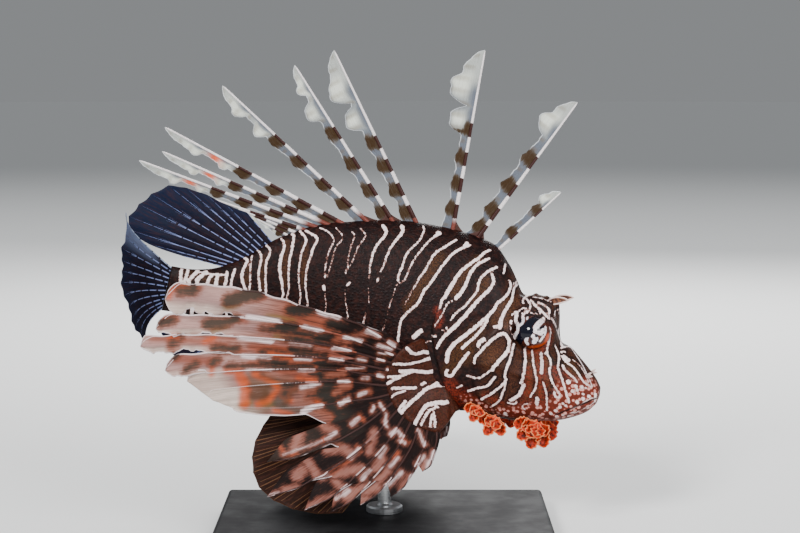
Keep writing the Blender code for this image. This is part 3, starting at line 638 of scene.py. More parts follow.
napeLines = (
    (3.2, 3, (470, 245), (455, 252), (445, 263), (440, 269), (430, 284), (424, 291), (418, 303), (408, 312),
     (401.5, 320), (398.5, 334), (398, 341)),
    (3, 4.6, (490, 250), (484, 253), (480, 257), (467, 266), (458, 275), (452, 285), (447, 293)),
    (4.2, 2.4, (447, 293), (445, 297), (442, 300), (441, 305), (439, 309)),
    (3, 4.5, (489, 258.5), (478, 264), (471, 272), (465, 286), (460, 294), (456, 298)),
    (2, 2, (452, 301), (447, 304), (442.5, 314), (434, 327)),
    (3.2, 2.5, (497, 267), (487, 272), (480, 280), (477.5, 289), (476, 293), (465, 306), (455, 314),
     (451, 320)),
    (3.2, 4.5, (492, 274), (493.5, 279), (493, 284), (486, 293), (475, 304), (464, 317), (450, 331)),
    (4.2, 3, (450, 331), (445, 336), (440, 342), (437, 348)),
    (2, 2, (448.5, 327), (444, 329.5), (441, 330.5)), (3, 3, (432, 336), (436, 336)),
    (3, 4, (509.5, 281), (511, 285), (507, 295), (498, 303), (491, 313), (480, 323)),
    (4, 5, (480, 323), (468, 333), (454, 344), (448, 353), (447, 361)),
    (3.3, 3.3, (487, 321), (480, 331), (470, 341), (462, 348.5)),
    (2.5, 5, (517.5, 284), (514, 289), (511.5, 300), (506, 309), (501.5, 319), (500, 327.5)),
    (3.5, 3.5, (500, 327), (494, 327)), (2.5, 2.5, (505.5, 264), (503.5, 274)),
    (2, 2, (516.5, 277), (517, 281), (513.5, 284)),
)

browLines = (
    (2.2, 2.2, (528.5, 294.5), (525, 297), (523, 301), (523.5, 303)),
    (2, 2, (526, 298), (529, 302), (530.5, 306), (529.5, 309.5)),
    (2.2, 3.5, (530, 300), (540, 309), (549, 318.5), (553, 320.5), (556.5, 329), (560, 339), (562, 346)),
    (2, 2, (529, 310), (524, 308), (520, 310), (516, 313)),
    (2.6, 2.2, (529, 311), (525, 313), (522.5, 316), (522.5, 320)), (2.4, 2.4, (516, 311.5), (512, 315)),
    (1.8, 1.8, (533, 297), (540, 298), (551, 301.5)),
    (2.5, 2.5, (538, 302), (547, 307), (549.5, 311), (548.5, 313.5)),
    (1.6, 1.6, (525, 311), (530, 313), (541, 313.5), (538, 309), (534, 305)),
    (2.5, 2.5, (548, 327), (550.5, 331), (549, 341), (547, 352), (551, 362), (549.5, 372), (553, 384),
     (559.5, 394), (558.5, 398), (555.5, 396.5), (554, 392)),
    (2.6, 2.6, (555, 345), (559, 357), (558, 368), (562, 379), (566, 393), (569, 402)),
    (2.2, 2.2, (558.5, 309.5), (555, 311.5), (554.5, 316)),
    (2.5, 2.5, (559, 313), (560.5, 318), (561.5, 324), (564, 330), (564, 339)),
    (2.2, 2.2, (561, 348), (569, 346.5), (574, 352), (583, 366), (590, 381), (592, 386)),
    (1, 1, (575, 345), (586, 361), (594, 374)), (2.5, 2.5, (561, 352), (565, 351.5)),
    (2.6, 2.6, (562, 356), (565, 361), (575, 369), (584, 382), (591, 387)), (5, 5, (564, 357), (568, 360)),
    (1.6, 1.6, (572, 359), (581, 367), (587, 378), (588.5, 383)),
    (3.5, 2, (563, 366), (566, 371), (574, 378), (577, 382)),
)

cheekLines = (
    (3, 3, (525, 348), (525, 366), (523, 378), (521, 383)), (4, 4, (524, 385), (519, 395), (511, 400)),
    (2.5, 2.5, (508, 403), (513, 404), (517, 402)),
    (2.6, 2.2, (532, 350), (533, 362), (536.5, 379), (535, 389), (530, 397)),
    (3.6, 3.6, (541, 353), (542, 363), (541.5, 373)), (3, 3, (545, 354), (547, 352)),
    (2.2, 2.2, (543, 382), (546.5, 394), (547, 410)), (4, 4, (537, 398), (537, 404)),
    (1.6, 1.6, (529, 403.5), (525, 404), (522.5, 407), (525, 409.5)),
    (4, 3, (468, 353), (460, 364), (453, 374), (450, 376), (446.5, 375), (446, 371), (448, 370)),
    (4.5, 4.5, (484, 339.5), (480, 341.5), (478.5, 345.5)),
    (3.4, 4, (474.5, 363), (475, 358), (483, 349), (492, 340), (501, 334), (506, 335), (509.5, 344),
     (506, 353), (498, 362), (493, 368), (492.5, 370)),
    (2.8, 2.8, (514, 343), (511.5, 355), (507.5, 366), (504.5, 376), (506, 380), (500, 387), (489, 395),
     (481, 399.5)),
    (2.2, 2.2, (506, 381), (503, 392), (499, 401), (490, 407)),
    (2.5, 2.5, (492, 370), (482, 376.5), (477, 378), (467, 376)),
    (3, 3, (495, 377), (487, 386), (478, 388), (468, 391)), (2.5, 2.5, (457, 388), (462, 385.5)),
    (4, 4, (505, 413), (506, 415)),
)

# spots of the snout and jaw: place and radius
snoutSpots = (
    (568.5, 382, 2.6), (575.5, 386.5, 2.2), (582, 387, 2), (577, 390, 1.8), (586, 388, 1.5),
    (573, 391, 2.2), (583, 394, 1.6), (583, 399, 2), (577, 402, 2.2), (589, 396, 2), (573, 412.5, 2),
    (569, 416, 2), (563, 415, 2), (557, 416.5, 2), (588, 408, 1.8), (556, 411, 2), (551, 414, 2),
    (566, 406, 1.6), (560, 407, 2), (563, 403, 1.6),
)
lipLines = (
    (2, 2, (571, 409), (583, 403), (592, 398)), (1.8, 1.8, (575, 413), (587, 407), (596, 401)),
    (5, 4, (595.5, 395), (595, 400)), (1.6, 1.6, (592, 400), (595, 396), (594, 393)),
)

# pale marks on the eye and on the skin next to it, and the dark spots and hooks in them
eyeMarks = (
    (3.5, 4.5, (518, 313), (515.5, 319), (517.5, 325), (517.5, 331), (515.4, 335), (514.6, 338)),
    (3, 2, (511, 321), (511, 330), (512, 334)),
    (3, 3.5, (522.5, 313.5), (523.3, 319), (522, 323.5), (519, 326)), (2, 2, (527.5, 317), (527, 319)),
    (5, 5.5, (543.5, 319.5), (539.5, 323), (536.3, 327), (535.8, 331)),
    (4, 4, (536, 331), (541, 333.5), (543, 330)), (4, 5, (533, 336), (536, 339), (534, 342)),
    (3.5, 3.5, (527, 337), (526, 341), (527.5, 344)),
    (2.6, 2.6, (545.5, 327), (545.5, 332), (543, 337), (540, 341)),
)
eyeSpecks = (
    (515.8, 327.5, 1.4), (511.5, 326, 1), (512, 331, 0.8),
)
eyeHooks = ((2.6, 3, (520, 314), (519.6, 319), (520.6, 322)),)

# a line with a number at its end runs on round the belly, and ends so many mm further towards the tail
trunkLines = (
    (2.2, 2.8, (423, 226), (424, 231), (419, 241), (408, 252), (403, 264), (398.5, 276), (398, 281)),
    (1.2, 1.3, (397, 284), (392, 298), (386, 317), (385, 323), 4), (6, 3, (439, 233), (436, 236)),
    (2.6, 1.8, (436, 235), (427, 243), (417, 256), (409, 269), (404.5, 280), (398, 283)),
    (3, 2.6, (456, 240), (441, 249), (434, 255), (428, 265), (418, 281)),
    (2, 1, (418, 281), (412, 291), (406, 302), (405, 306)), (4, 3.2, (467, 243), (464, 246)),
    (4.5, 1.4, (383, 226), (386, 231), (385.5, 235), (376, 247), (371.5, 260), (369.5, 272), (369, 279)),
    (1, 1, (369, 286), (368.5, 294), (369, 306), (367, 308.5), 2),
    (4.5, 1.6, (402, 226), (403, 231), (398, 238), (390, 249), (384, 265), (380.5, 272)),
    (2.6, 2.6, (378.5, 278.5), (377, 281.5)),
    (1.8, 1.4, (352, 232), (354.5, 236), (350, 250), (347.5, 264), (345, 274)),
    (1.8, 1.4, (360, 228), (365.5, 235.5), (358, 247), (352.5, 261), (346, 273)),
    (2.8, 2.8, (350, 283), (347, 285)), (1.1, 1.3, (345, 290), (346, 305), (348, 316), 0),
    (1.8, 1.8, (320, 228), (327, 231), (334, 239), (329, 252), (325.5, 266), (325, 278)),
    (1.4, 1.4, (336, 228), (342.5, 237), (335.5, 248), (332, 260), (327, 278)),
    (3.4, 3.4, (324, 286.5), (324, 289.5)), (1.1, 1.3, (325, 293), (326, 308), -2),
    (3.2, 1.8, (306, 231), (317, 238), (313, 249), (307.5, 267), (305.5, 280), (306, 292), (308, 303), -3),
    (3, 1.6, (300, 231), (306, 240), (302, 252), (299, 270), (299, 284), (301, 297), -3),
    (3.6, 2, (292, 234), (294, 238), (290, 259), (288.5, 273), (289, 288), -4),
    (2.2, 4, (277, 231), (284.5, 245), (281, 257), (279.5, 270)),
    (3.6, 2.4, (279.5, 270), (281.5, 282), (283, 294), -4),
    (2.6, 2.6, (261, 241), (270, 250), (266.5, 262), (265.5, 276), (266, 292), -5),
    (2.6, 2.6, (253, 246), (261, 255), (259.5, 268), (258.5, 275), (260, 291), -5),
    (2.2, 2.2, (252, 256), (250.5, 266), (250, 282), (249.5, 289), -5),
    (3.4, 3.2, (245, 258), (247, 261), (242.5, 272), (242, 279), (245, 289), -5),
    (2.6, 2.6, (235, 269), (231.5, 280), (231, 286), -4), (5, 5, (414, 337), (421, 331)),
    (2, 2, (414, 344), (420, 344), (431, 341)), (2.6, 2.6, (227, 272), (226, 281), (224.5, 286), -3),
    (3.2, 3.2, (218, 275), (216, 284), (215, 287), -3), (2.8, 2.8, (212, 275), (209, 279), (207, 286), -3),
    (3.4, 3.4, (206, 272), (198, 279), (197, 283), -2), (3, 3, (198, 271), (190, 279), (189, 283), -2),
    (2.4, 2.4, (188, 270), (185, 280), (184.5, 283), -1),
    (2.8, 2.8, (182, 267), (180.5, 278), (181, 283), -1), (1.6, 1.6, (200, 272), (210, 274), (226, 275)),
)

padLines = (
    (3, 3, (407, 348), (414, 354), (423, 352), (435, 354)),
    (3, 2, (434, 357), (422, 361), (407, 364), (394, 364)),
    (3.2, 3.2, (440, 369), (428, 372), (412, 371), (400, 371.5)),
    (2.2, 2.2, (411, 372), (400, 376), (384, 377.5)), (2.5, 2.5, (400, 377), (390, 382), (385, 386)),
    (2.4, 2.4, (416, 388), (402, 388), (392, 388.5)), (1.8, 1.8, (405, 391), (395, 394), (391.5, 397)),
    (2.6, 2.6, (421.5, 384.5), (425, 382.5)),
    (3.2, 3.2, (445, 386), (440, 385), (428, 388), (415, 399), (405, 408), (400, 415)),
    (2.5, 2.5, (405, 401), (398.5, 411), (400, 415)), (2, 2, (444, 380), (438, 382), (433, 385)),
    (4, 3, (447, 402.5), (435, 403), (425, 407), (416, 422), (414.5, 428)),
    (2.2, 2.2, (438, 407), (428, 412), (419, 429)), (2, 2, (433.5, 413), (435, 420), (435, 427)),
    (2, 2, (433, 413), (431, 420), (430, 427)),
)

# soft patches: radius in mm at the middle of the line, then the line
warmPatches = (
    (3, (478, 259), (468, 270), (461, 281), (454, 293)),
    (3, (486, 280), (484, 287), (479, 295), (472, 303)),
    (4, (440, 257), (433, 266), (420, 288), (408, 306)),
    (5, (478, 330), (466, 340), (458, 350), (450, 370)), (7, (465, 350), (465, 354)),
    (3.5, (508, 300), (500, 310), (495, 322)), (8, (490, 354), (490, 357)), (2.2, (305, 245), (303, 285)),
    (2.2, (286, 242), (284, 285)), (2.2, (263, 258), (262, 288)), (2.2, (247, 265), (247, 288)),
    (2.5, (529, 352), (529, 395)), (2.5, (538, 352), (539, 395)), (2.5, (546, 360), (548, 385)),
    (3, (204, 277), (195, 276), (188, 275)), (3, (221, 279), (213, 280)), (4, (570, 365), (580, 385)),
    (3, (513, 300), (505, 325)),
)
redPatches = (
    (2.5, (437, 310), (440, 318), (438, 325)), (8, (455, 395), (470, 405), (480, 410)),
    (9, (520, 412), (560, 405)), (8, (545, 420), (595, 405)),
    (3.5, (530, 351), (540, 350), (547, 340), (549, 330)), (6, (575, 395), (590, 385)),
    (5, (450, 385), (460, 400)), (3, (556, 370), (562, 395)), (4, (540, 355), (543, 400)),
    (3, (528, 370), (527, 395)), (2.5, (566, 372), (578, 384)), (3, (486, 396), (500, 404)),
)

spottedPatches = (
    (6, (566, 392), (580, 390), (593, 388)), (6, (560, 404), (580, 401), (595, 397)),
    (7, (540, 415), (562, 413), (584, 408), (597, 400)), (4, (500, 413), (520, 412), (540, 408)),
    (3, (466, 398), (488, 408)),
)

markings = {
    "pixel": 0.6,  # mm across one pixel at the fish
    "reach": 6,  # mm from a line at which its field ends
    "bellyHalf": 0.65,  # least half width in mm of a line round the belly
}


def smoothLine(points, parts=4):
    points = np.asarray(points, float)
    full = np.concatenate((points[:1] * 2 - points[1:2], points, points[-1:] * 2 - points[-2:-1]))
    t = np.arange(parts)[:, None] / parts
    made = []
    for k in range(len(points) - 1):
        a, b, c, d = full[k:k + 4]
        bend = (2 * a - 5 * b + 4 * c - d) * t ** 2 + (3 * b - a - 3 * c + d) * t ** 3
        made.append(0.5 * (2 * b + (c - a) * t + bend))
    return np.concatenate(made + [points[-1:]])


def sideOf(points):
    # the same place on the fish's side, whichever side it is on
    mirrored = points.copy()
    mirrored[:, 1] = np.abs(mirrored[:, 1])
    return mirrored


class Canvas:
    # a mesh that the marks of the picture are laid on
    def __init__(self, world, flesh, faces):
        self.tree = BVHTree.FromPolygons(world.tolist(), faces)
        self.world, self.flesh, self.faces = world, flesh, faces

    def lay(self, points):
        # places on the straight fish of points of the picture, and whether each one hit it
        laid, hit = [], []
        start = Vector(viewAxes()[2])
        for u, v in points:
            place, _, face, _ = self.tree.ray_cast(start, Vector(pixelRay(u, v)))
            hit.append(place is not None)
            if place is None:
                laid.append(np.zeros(3))
                continue
            corners = list(self.faces[face])
            spots = self.world[corners]
            near = 1 / (np.linalg.norm(spots - np.array(place), axis=1) + 1e-7)
            laid.append((self.flesh[corners] * near[:, None]).sum(0) / near.sum())
        return np.array(laid), np.array(hit)


def segmentField(points, line, widths, reach=markings["reach"]):
    # distance in mm from the edge of a line of changing half width, below zero inside it
    field = np.full(len(points), float(reach))
    low, high = line.min(0) - reach, line.max(0) + reach
    near = np.flatnonzero(((points > low) & (points < high)).all(1))
    here = points[near]
    best = np.full(len(near), float(reach))
    for a, b, wa, wb in zip(line, line[1:], widths, widths[1:]):
        run = b - a
        t = np.clip((here - a) @ run / max(run @ run, 1e-9), 0, 1)
        away = np.linalg.norm(here - a - t[:, None] * run, axis=1)
        best = np.minimum(best, away - wa - (wb - wa) * t)
    field[near] = best
    return field


def bellyRun(last, drift, count=10):
    # carries a line on from its last place round the belly
    s, l, z = last
    angles = np.linspace(0, np.pi, 181)
    ring = bodySurface(np.full(181, s), angles)
    start = angles[np.argmin(np.hypot(ring[:, 1] - abs(l), ring[:, 2] - z))]
    turn = np.linspace(start, np.pi, count + 1)[1:]
    share = (turn - start) / (np.pi - start)
    run = bodySurface(s + drift * share ** 1.5, turn)
    run[:, 1] = np.abs(run[:, 1])
    return run


def lineField(canvas, target, tables):
    field = np.full(len(target), float(markings["reach"]))
    for first, last, *points in (mark for table in tables for mark in table):
        drift = None if isinstance(points[-1], tuple) else points.pop()
        shape = smoothLine(points)
        laid, hit = canvas.lay(shape)
        if hit.sum() < 2:
            continue
        widths = (first + (last - first) * np.linspace(0, 1, len(shape)))[hit] * markings["pixel"] / 2
        line = sideOf(laid[hit])
        if drift is not None:
            more = bellyRun(line[-1], drift)
            line = np.concatenate((line, more))
            widths = np.concatenate((widths, np.full(len(more), max(widths[-1], markings["bellyHalf"]))))
        field = np.minimum(field, segmentField(target, line, widths))
    return field


def patchField(canvas, target, patches):
    field = np.zeros(len(target))
    for radius, *points in patches:
        laid, hit = canvas.lay(smoothLine(points))
        if hit.sum() > 1:
            away = segmentField(target, sideOf(laid[hit]), np.zeros(hit.sum()), radius * 1.5)
            field = np.maximum(field, ramp(away, radius * 1.5, radius * 0.3))
    return field


def spotField(canvas, target, spots):
    laid, hit = canvas.lay([(u, v) for u, v, _ in spots])
    field = np.full(len(target), float(markings["reach"]))
    for place, good, (_, _, radius) in zip(laid, hit, spots):
        if good:
            away = np.linalg.norm(target - (place[0], abs(place[1]), place[2]), axis=1)
            field = np.minimum(field, away - radius * markings["pixel"])
    return field


# skin: dark maroon brown, banded white, with golden and red patches and small scales

skinLook = {
    "dark": (0.0052, 0.0013, 0.0012),
    "darkMottle": (0.022, 0.0055, 0.0036),
    "warm": (0.085, 0.031, 0.0080),
    "red": (0.150, 0.0165, 0.0065),
    "core": (0.095, 0.030, 0.012),
    "pale": (0.84, 0.72, 0.71),
    "paleSpeck": (0.36, 0.20, 0.16),
    # painted shade in the creases, and also the thin dark line along each stripe
    "lineAndCreaseShadeColour": (0.004, 0.002, 0.002),
    "rim": (0.26, 0.092, 0.060),
    "spot": (0.56, 0.255, 0.215),
    "ring": (0.085, 0.0125, 0.0055),
    "raggedness": 0.9,  # mm that the edge of a stripe wanders
    "scale": 1.5,  # mm across a scale
    "roughness": 0.5,
    "coat": 0.02,
    "gloss": 0.12,
}


def skinColour(shade, flesh, edge, stripe):
    look = skinLook
    warm, red, spotted, scaled, creaseShade = map(shade.attribute, ("warm", "red", "spotted", "scaled", "creaseShade"))
    mottle = shade.between(shade.noise(flesh, 0.35, 5, 0.65), 0.42, 0.68)
    ground = shade.mix(mottle, look["dark"], look["darkMottle"])
    speckle = shade.between(shade.noise(flesh, 1.5, 5, 0.8), 0.40, 0.66)
    ground = shade.mix(shade.times(warm, speckle), ground, look["warm"])
    fleck = shade.between(shade.noise(flesh, 0.9, 5, 0.7), 0.38, 0.62)
    ground = shade.mix(shade.times(red, fleck), ground, look["red"])
    # on the head, the middle of each dark stripe is warmer
    middle = shade.times(shade.between(edge, 0.7, 1.6), shade.between(scaled, 0.8, 0.1))
    ground = shade.mix(shade.times(middle, shade.times(speckle, 0.75)), ground, look["core"])
    # a thin dark line runs along each stripe
    ground = shade.mix(shade.times(shade.between(edge, 0.9, 0.2), 0.55), ground, look["lineAndCreaseShadeColour"])
    specks = shade.between(shade.noise(flesh, 0.75, 5, 0.75), 0.49, 0.66)
    pale = shade.mix(shade.times(specks, 0.6), look["pale"], look["paleSpeck"])
    pale = shade.mix(shade.times(red, 0.35), pale, look["red"])
    pale = shade.mix(shade.between(edge, -0.42, -0.02), pale, look["rim"])
    # close small spots on the snout and jaw
    lumps = shade.cells(flesh, 0.37)
    ground = shade.mix(shade.times(spotted, 0.8), ground, look["red"])
    for low, high, name in ((0.48, 0.6, "ring"), (0.45, 0.33, "spot")):
        ground = shade.mix(shade.times(shade.between(lumps, low, high), spotted), ground, look[name])
    # painted shade darkens the mouth line, the groove behind the gill edge and the rim of the eye's hollow
    return shade.mix(creaseShade, shade.mix(stripe, ground, pale), look["lineAndCreaseShadeColour"])


def skinMaterial():
    look = skinLook
    made, shade, shader = newMaterial("lionfishSkin", look["roughness"], look["gloss"], look["coat"], 0.2)
    flesh, scaled = shade.attribute("flesh", "Vector"), shade.attribute("scaled")
    wander = ragged(shade, flesh, 0.75, 4, 0.65, look["raggedness"] * 2)
    edge = shade.plus(shade.attribute("pale"), wander)
    stripe = shade.between(edge, 0.06, -0.16)
    lattice = shade.cells(shade.squeezed(flesh, (0.75, 1, 1)), 1 / look["scale"])
    scales = shade.times(shade.between(lattice, 0.1, 0.62, 1.0, 0.0), scaled)
    pores = shade.times(shade.noise(flesh, 2.2, 4, 0.6), shade.math("SUBTRACT", 1.15, scaled))
    height = shade.plus(shade.plus(scales, pores), shade.times(stripe, 0.35))
    sheen = look["roughness"] - 0.07, look["roughness"] + 0.1
    rough = shade.between(shade.noise(flesh, 1.6), 0.3, 0.7, *sheen)
    shade.finish(shader, skinColour(shade, flesh, edge, stripe), rough, height, 0.45, 0.00035)
    return made


skinMatter = skinMaterial()


def skinValues():
    canvas = Canvas(skinWorld, skinFlesh, skinSides)
    target = sideOf(skinFlesh)
    pale = lineField(canvas, target, (napeLines, browLines, cheekLines, lipLines, trunkLines))
    pale = np.minimum(pale, spotField(canvas, target, snoutSpots))
    pale = np.minimum(pale, lineField(canvas, target, (eyeMarks,)))
    holes = np.minimum(spotField(canvas, target, eyeSpecks), lineField(canvas, target, (eyeHooks,)))
    pale = np.maximum(pale, 0.2 - holes)
    s, l, z = skinFlesh.T
    pale = pale - 0.25 * ramp(s, 222, 236)
    # painted shade: darker in the mouth line, in the groove behind the gill edge and round the eye's hollow
    lips = np.abs(lineDistance(fish["mouth"], s, z))
    creaseShade = np.exp(-((lips / 0.5) ** 2)) * ramp(s, 22, 17)
    behind = lineDistance(fish["gillEdge"], s, z)
    creaseShade = np.maximum(creaseShade, 0.8 * np.exp(-(((behind - 0.8) / 0.55) ** 2)) * ramp(z, 26, 20))
    around = roundEye(s, z)
    creaseShade = np.maximum(creaseShade, ramp(around, 1.0, 0.95) * ramp(np.abs(l), 10, 13))
    return {
        "flesh": skinFlesh,
        "pale": pale,
        "warm": patchField(canvas, target, warmPatches),
        "red": patchField(canvas, target, redPatches),
        "creaseShade": np.clip(creaseShade, 0, 1),
        "spotted": patchField(canvas, target, spottedPatches),
        "scaled": ramp(s, 58, 74),
    }


skin = meshObject("skin", skinWorld, skinSides, skinMatter, skinValues())
setOut(skin, "skin", "head", "lower_jaw", "trunk", "tail_stem")
print("skin is on")

for side, sign in (("right", -1), ("left", 1)):
    padPoints, padFaces = padMesh(sign)
    padWorld = swim(padPoints, pad["station"])
    if sign < 0:
        padCanvas = Canvas(padWorld, padPoints, padFaces)
    padSide = sideOf(padPoints)
    values = {
        "flesh": padPoints,
        "pale": lineField(padCanvas, padSide, (padLines,)) - 0.28,
        "warm": np.full(len(padPoints), 0.3),
        "red": np.full(len(padPoints), 0.2),
        "creaseShade": np.zeros(len(padPoints)),
        "spotted": np.zeros(len(padPoints)),
        "scaled": np.full(len(padPoints), 0.5),
    }
    piece = meshObject(f"pectoralPad_{side}", padWorld, padFaces, skinMatter, values)
    setOut(piece, "skin", f"pectoral_base_{side}")
print("pectoral pads are on")


# eyes: a blue black pupil with a dark bar through it, and a spotted white and orange iris

eye = {
    "rows": 96,
    "columns": 128,
    "bulge": 0.55,  # mm that the cornea stands out
    "roughness": 0.06,
    "pupil": (525.8, 330.4, 7.2),
    "bars": (
        (8, 9, (523.5, 334), (519, 339.5), (517.5, 346)),
        (9, 5, (525.8, 329), (530, 322.5), (535.5, 318.3), (541.7, 316), (546.5, 320.5)),
    ),
    "spots": (
        (536.3, 335.8, 1.6), (537.5, 342, 1.1), (530, 344.5, 1), (533.2, 324.5, 1.1), (543.5, 334.5, 0.8),
    ),
    "streaks": ((1.5, 1.3, (530, 336.5), (531.6, 342.5)), (2.4, 1.8, (538, 329.8), (544.3, 326))),
    "orange": (1.7, (548, 336), (546, 342), (541, 346), (530, 348)),
    "black": (0.0022, 0.0026, 0.007),
    "brown": (0.010, 0.0035, 0.0035),
    "white": (0.74, 0.68, 0.70),
    "amber": (0.36, 0.046, 0.008),
    "rust": (0.095, 0.022, 0.010),
}


def eyeSurface(sign):
    # rings from the middle of the cornea round to the back
    ring = np.linspace(0, np.pi, eye["rows"])[1:-1]
    turn = 2 * np.pi * np.arange(eye["columns"]) / eye["columns"]
    away, t = np.meshgrid(ring, turn, indexing="ij")
    middle, radii = fish["eye"], fish["eyeRadii"]
    bulge = 1 + eye["bulge"] / radii[1] * np.exp(-((away / 0.75) ** 2))
    grid = np.stack((
        middle[0] + radii[0] * np.sin(away) * np.cos(t),
        sign * (middle[1] + radii[1] * bulge * np.cos(away)),
        middle[2] + radii[2] * np.sin(away) * np.sin(t),
    ), -1).reshape(-1, 3)
    front = (middle[0], sign * (middle[1] + radii[1] + eye["bulge"]), middle[2])
    back = (middle[0], sign * (middle[1] - radii[1]), middle[2])
    points = np.concatenate((grid, [front, back]))
    rows, columns = len(ring), eye["columns"]
    faces = [tuple(q) for q in gridFaces(rows, columns, closed=True).tolist()]
    for k in range(columns):
        after = (k + 1) % columns
        faces.append((len(grid), after, k))
        faces.append((len(grid) + 1, (rows - 1) * columns + k, (rows - 1) * columns + after))
    if sign < 0:
        faces = [face[::-1] for face in faces]
    return points, faces


def eyeMaterial():
    made, shade, shader = newMaterial("eye", eye["roughness"], 0.2, 0.3, 0.03)
    flesh = shade.attribute("flesh", "Vector")
    wander = ragged(shade, flesh, 1.6, 3, 0.55, 1.1)
    white = shade.between(shade.plus(shade.attribute("white"), wander), 0.15, -0.2)
    specks = shade.between(shade.noise(flesh, 1.9, 3, 0.6), 0.58, 0.64)
    white = shade.times(white, shade.math("SUBTRACT", 1.0, shade.times(specks, 0.85)))
    amber = shade.attribute("amber")
    iris = shade.mix(shade.noise(flesh, 1.2, 4), eye["brown"], eye["rust"])
    iris = shade.mix(amber, iris, eye["amber"])
    light = shade.mix(shade.times(amber, 0.6), eye["white"], eye["amber"])
    colour = shade.mix(white, iris, light)
    dark = shade.between(shade.plus(shade.attribute("dark"), shade.times(wander, 0.3)), 0.1, -0.12)
    pupil = shade.between(shade.attribute("pupil"), 0.12, -0.12)
    for share in (dark, pupil):
        colour = shade.mix(share, colour, eye["black"])
    shade.feed(shader.inputs["Base Color"], colour)
    return made


eyeMatter = eyeMaterial()
for side, sign in (("right", -1), ("left", 1)):
    eyePoints, eyeFaces = eyeSurface(sign)
    eyeWorld = swim(eyePoints)
    if sign < 0:
        eyeCanvas = Canvas(eyeWorld, eyePoints, eyeFaces)
    target = sideOf(eyePoints)
    dark = np.minimum(
        lineField(eyeCanvas, target, (eye["bars"], eye["streaks"], eyeHooks)),
        spotField(eyeCanvas, target, eye["spots"] + eyeSpecks),
    )
    values = {
        "flesh": eyePoints,
        "white": lineField(eyeCanvas, target, (eyeMarks,)),
        "pupil": spotField(eyeCanvas, target, (eye["pupil"],)),
        "dark": dark,
        "amber": patchField(eyeCanvas, target, (eye["orange"],)),
    }
    piece = meshObject(f"eyeball_{side}", eyeWorld, eyeFaces, eyeMatter, values)
    setOut(piece, "eye", f"eye_{side}")
print("eyes are in")


# fin rays and spines are rods swept along their lines by one node tree

def rodTree():
    tree = bpy.data.node_groups.new("sweepRods", "GeometryNodeTree")
    inlets = {"Lines": "Geometry", "Sides": "Int", "Matter": "Material"}
    for way, sockets in (("INPUT", inlets), ("OUTPUT", {"Rods": "Geometry"})):
        for name, kind in sockets.items():
            tree.interface.new_socket(name=name, in_out=way, socket_type=f"NodeSocket{kind}")
    shade = Shade(tree)
    start, end = shade.node("NodeGroupInput").outputs, shade.node("NodeGroupOutput")
    curves = shade.node("GeometryNodeMeshToCurve", Mesh=start["Lines"])
    circle = shade.node("GeometryNodeCurvePrimitiveCircle", Resolution=start["Sides"], Radius=1)
    girth = shade.node("GeometryNodeInputNamedAttribute", {"data_type": "FLOAT"}, Name="girth")
    sweep = shade.node(
        "GeometryNodeCurveToMesh", Curve=curves.outputs["Curve"], Profile_Curve=circle.outputs["Curve"],
        Scale=girth.outputs["Attribute"], Fill_Caps=True,
    )
    smooth = shade.node("GeometryNodeSetShadeSmooth", Geometry=sweep.outputs["Mesh"])
    real = shade.node("GeometryNodeRealizeInstances", Geometry=smooth.outputs["Geometry"])
    rods = real.outputs["Geometry"]
    matter = shade.node("GeometryNodeSetMaterial", Geometry=rods, Material=start["Matter"])
    shade.feed(end.inputs["Rods"], matter.outputs["Geometry"])
    return tree


sweepRods = rodTree()


def rods(name, lines, material, sides=7):
    # lines: places in the world, radii in mm, and named values at each point
    points, edges, values = [], [], {"girth": []}
    for places, radii, more in lines:
        first = len(points)
        points += list(places)
        edges += [(first + k, first + k + 1) for k in range(len(places) - 1)]
        for label, numbers in dict(more, girth=np.asarray(radii) * mm).items():
            values.setdefault(label, []).extend(numbers)
    data = bpy.data.meshes.new(name)
    data.from_pydata([tuple(p) for p in points], edges, [])
    addValues(data, values)
    data.materials.append(material)
    made = linked(name, data)
    sweep = made.modifiers.new("sweep", "NODES")
    sweep.node_group = sweepRods
    wanted = {"Sides": sides, "Matter": material}
    for socket in sweepRods.interface.items_tree:
        if socket.in_out == "INPUT" and socket.name in wanted:
            sweep[socket.identifier] = wanted[socket.name]
    return finished(made)


def curvedRay(root, length, rise, out, count):
    # points along a ray that turns evenly from its first to its last angles, in degrees
    t = (np.arange(count - 1) + 0.5) / (count - 1)
    up = np.radians(rise[0] + (rise[1] - rise[0]) * t)
    side = np.radians(out[0] + (out[1] - out[0]) * t)
    steps = np.stack((np.cos(up) * np.cos(side), np.sin(side), np.sin(up) * np.cos(side)), -1)
    steps *= length / (count - 1)
    return np.asarray(root) + np.concatenate((np.zeros((1, 3)), np.cumsum(steps, 0)))


def runAlong(line):
    return unit(np.gradient(line, axis=0))


def sewn(grids, at, merges=()):
    # several grids of points of the straight fish as one mesh, sewn where they meet.
    # merges holds (grid, other, rows): the last column of one is the first of the other
    index, total = [], 0
    for grid in grids:
        rows, columns = grid.shape[:2]
        index.append(np.arange(rows * columns).reshape(rows, columns) + total)
        total += rows * columns
    for one, other, rows in merges:
        index[other][:rows, 0] = index[one][:rows, -1]
    corners = [(ids[:-1, :-1], ids[:-1, 1:], ids[1:, 1:], ids[1:, :-1]) for ids in index]
    quads = np.concatenate([np.stack(four, -1).reshape(-1, 4) for four in corners])
    used, faces = np.unique(quads, return_inverse=True)
    flesh = np.concatenate([grid.reshape(-1, 3) for grid in grids])[used]
    spread = [np.broadcast_to(station, grid.shape[:2]).ravel() for station, grid in zip(at, grids)]
    return flesh, swim(flesh, np.concatenate(spread)[used]), faces.reshape(-1, 4).tolist(), used


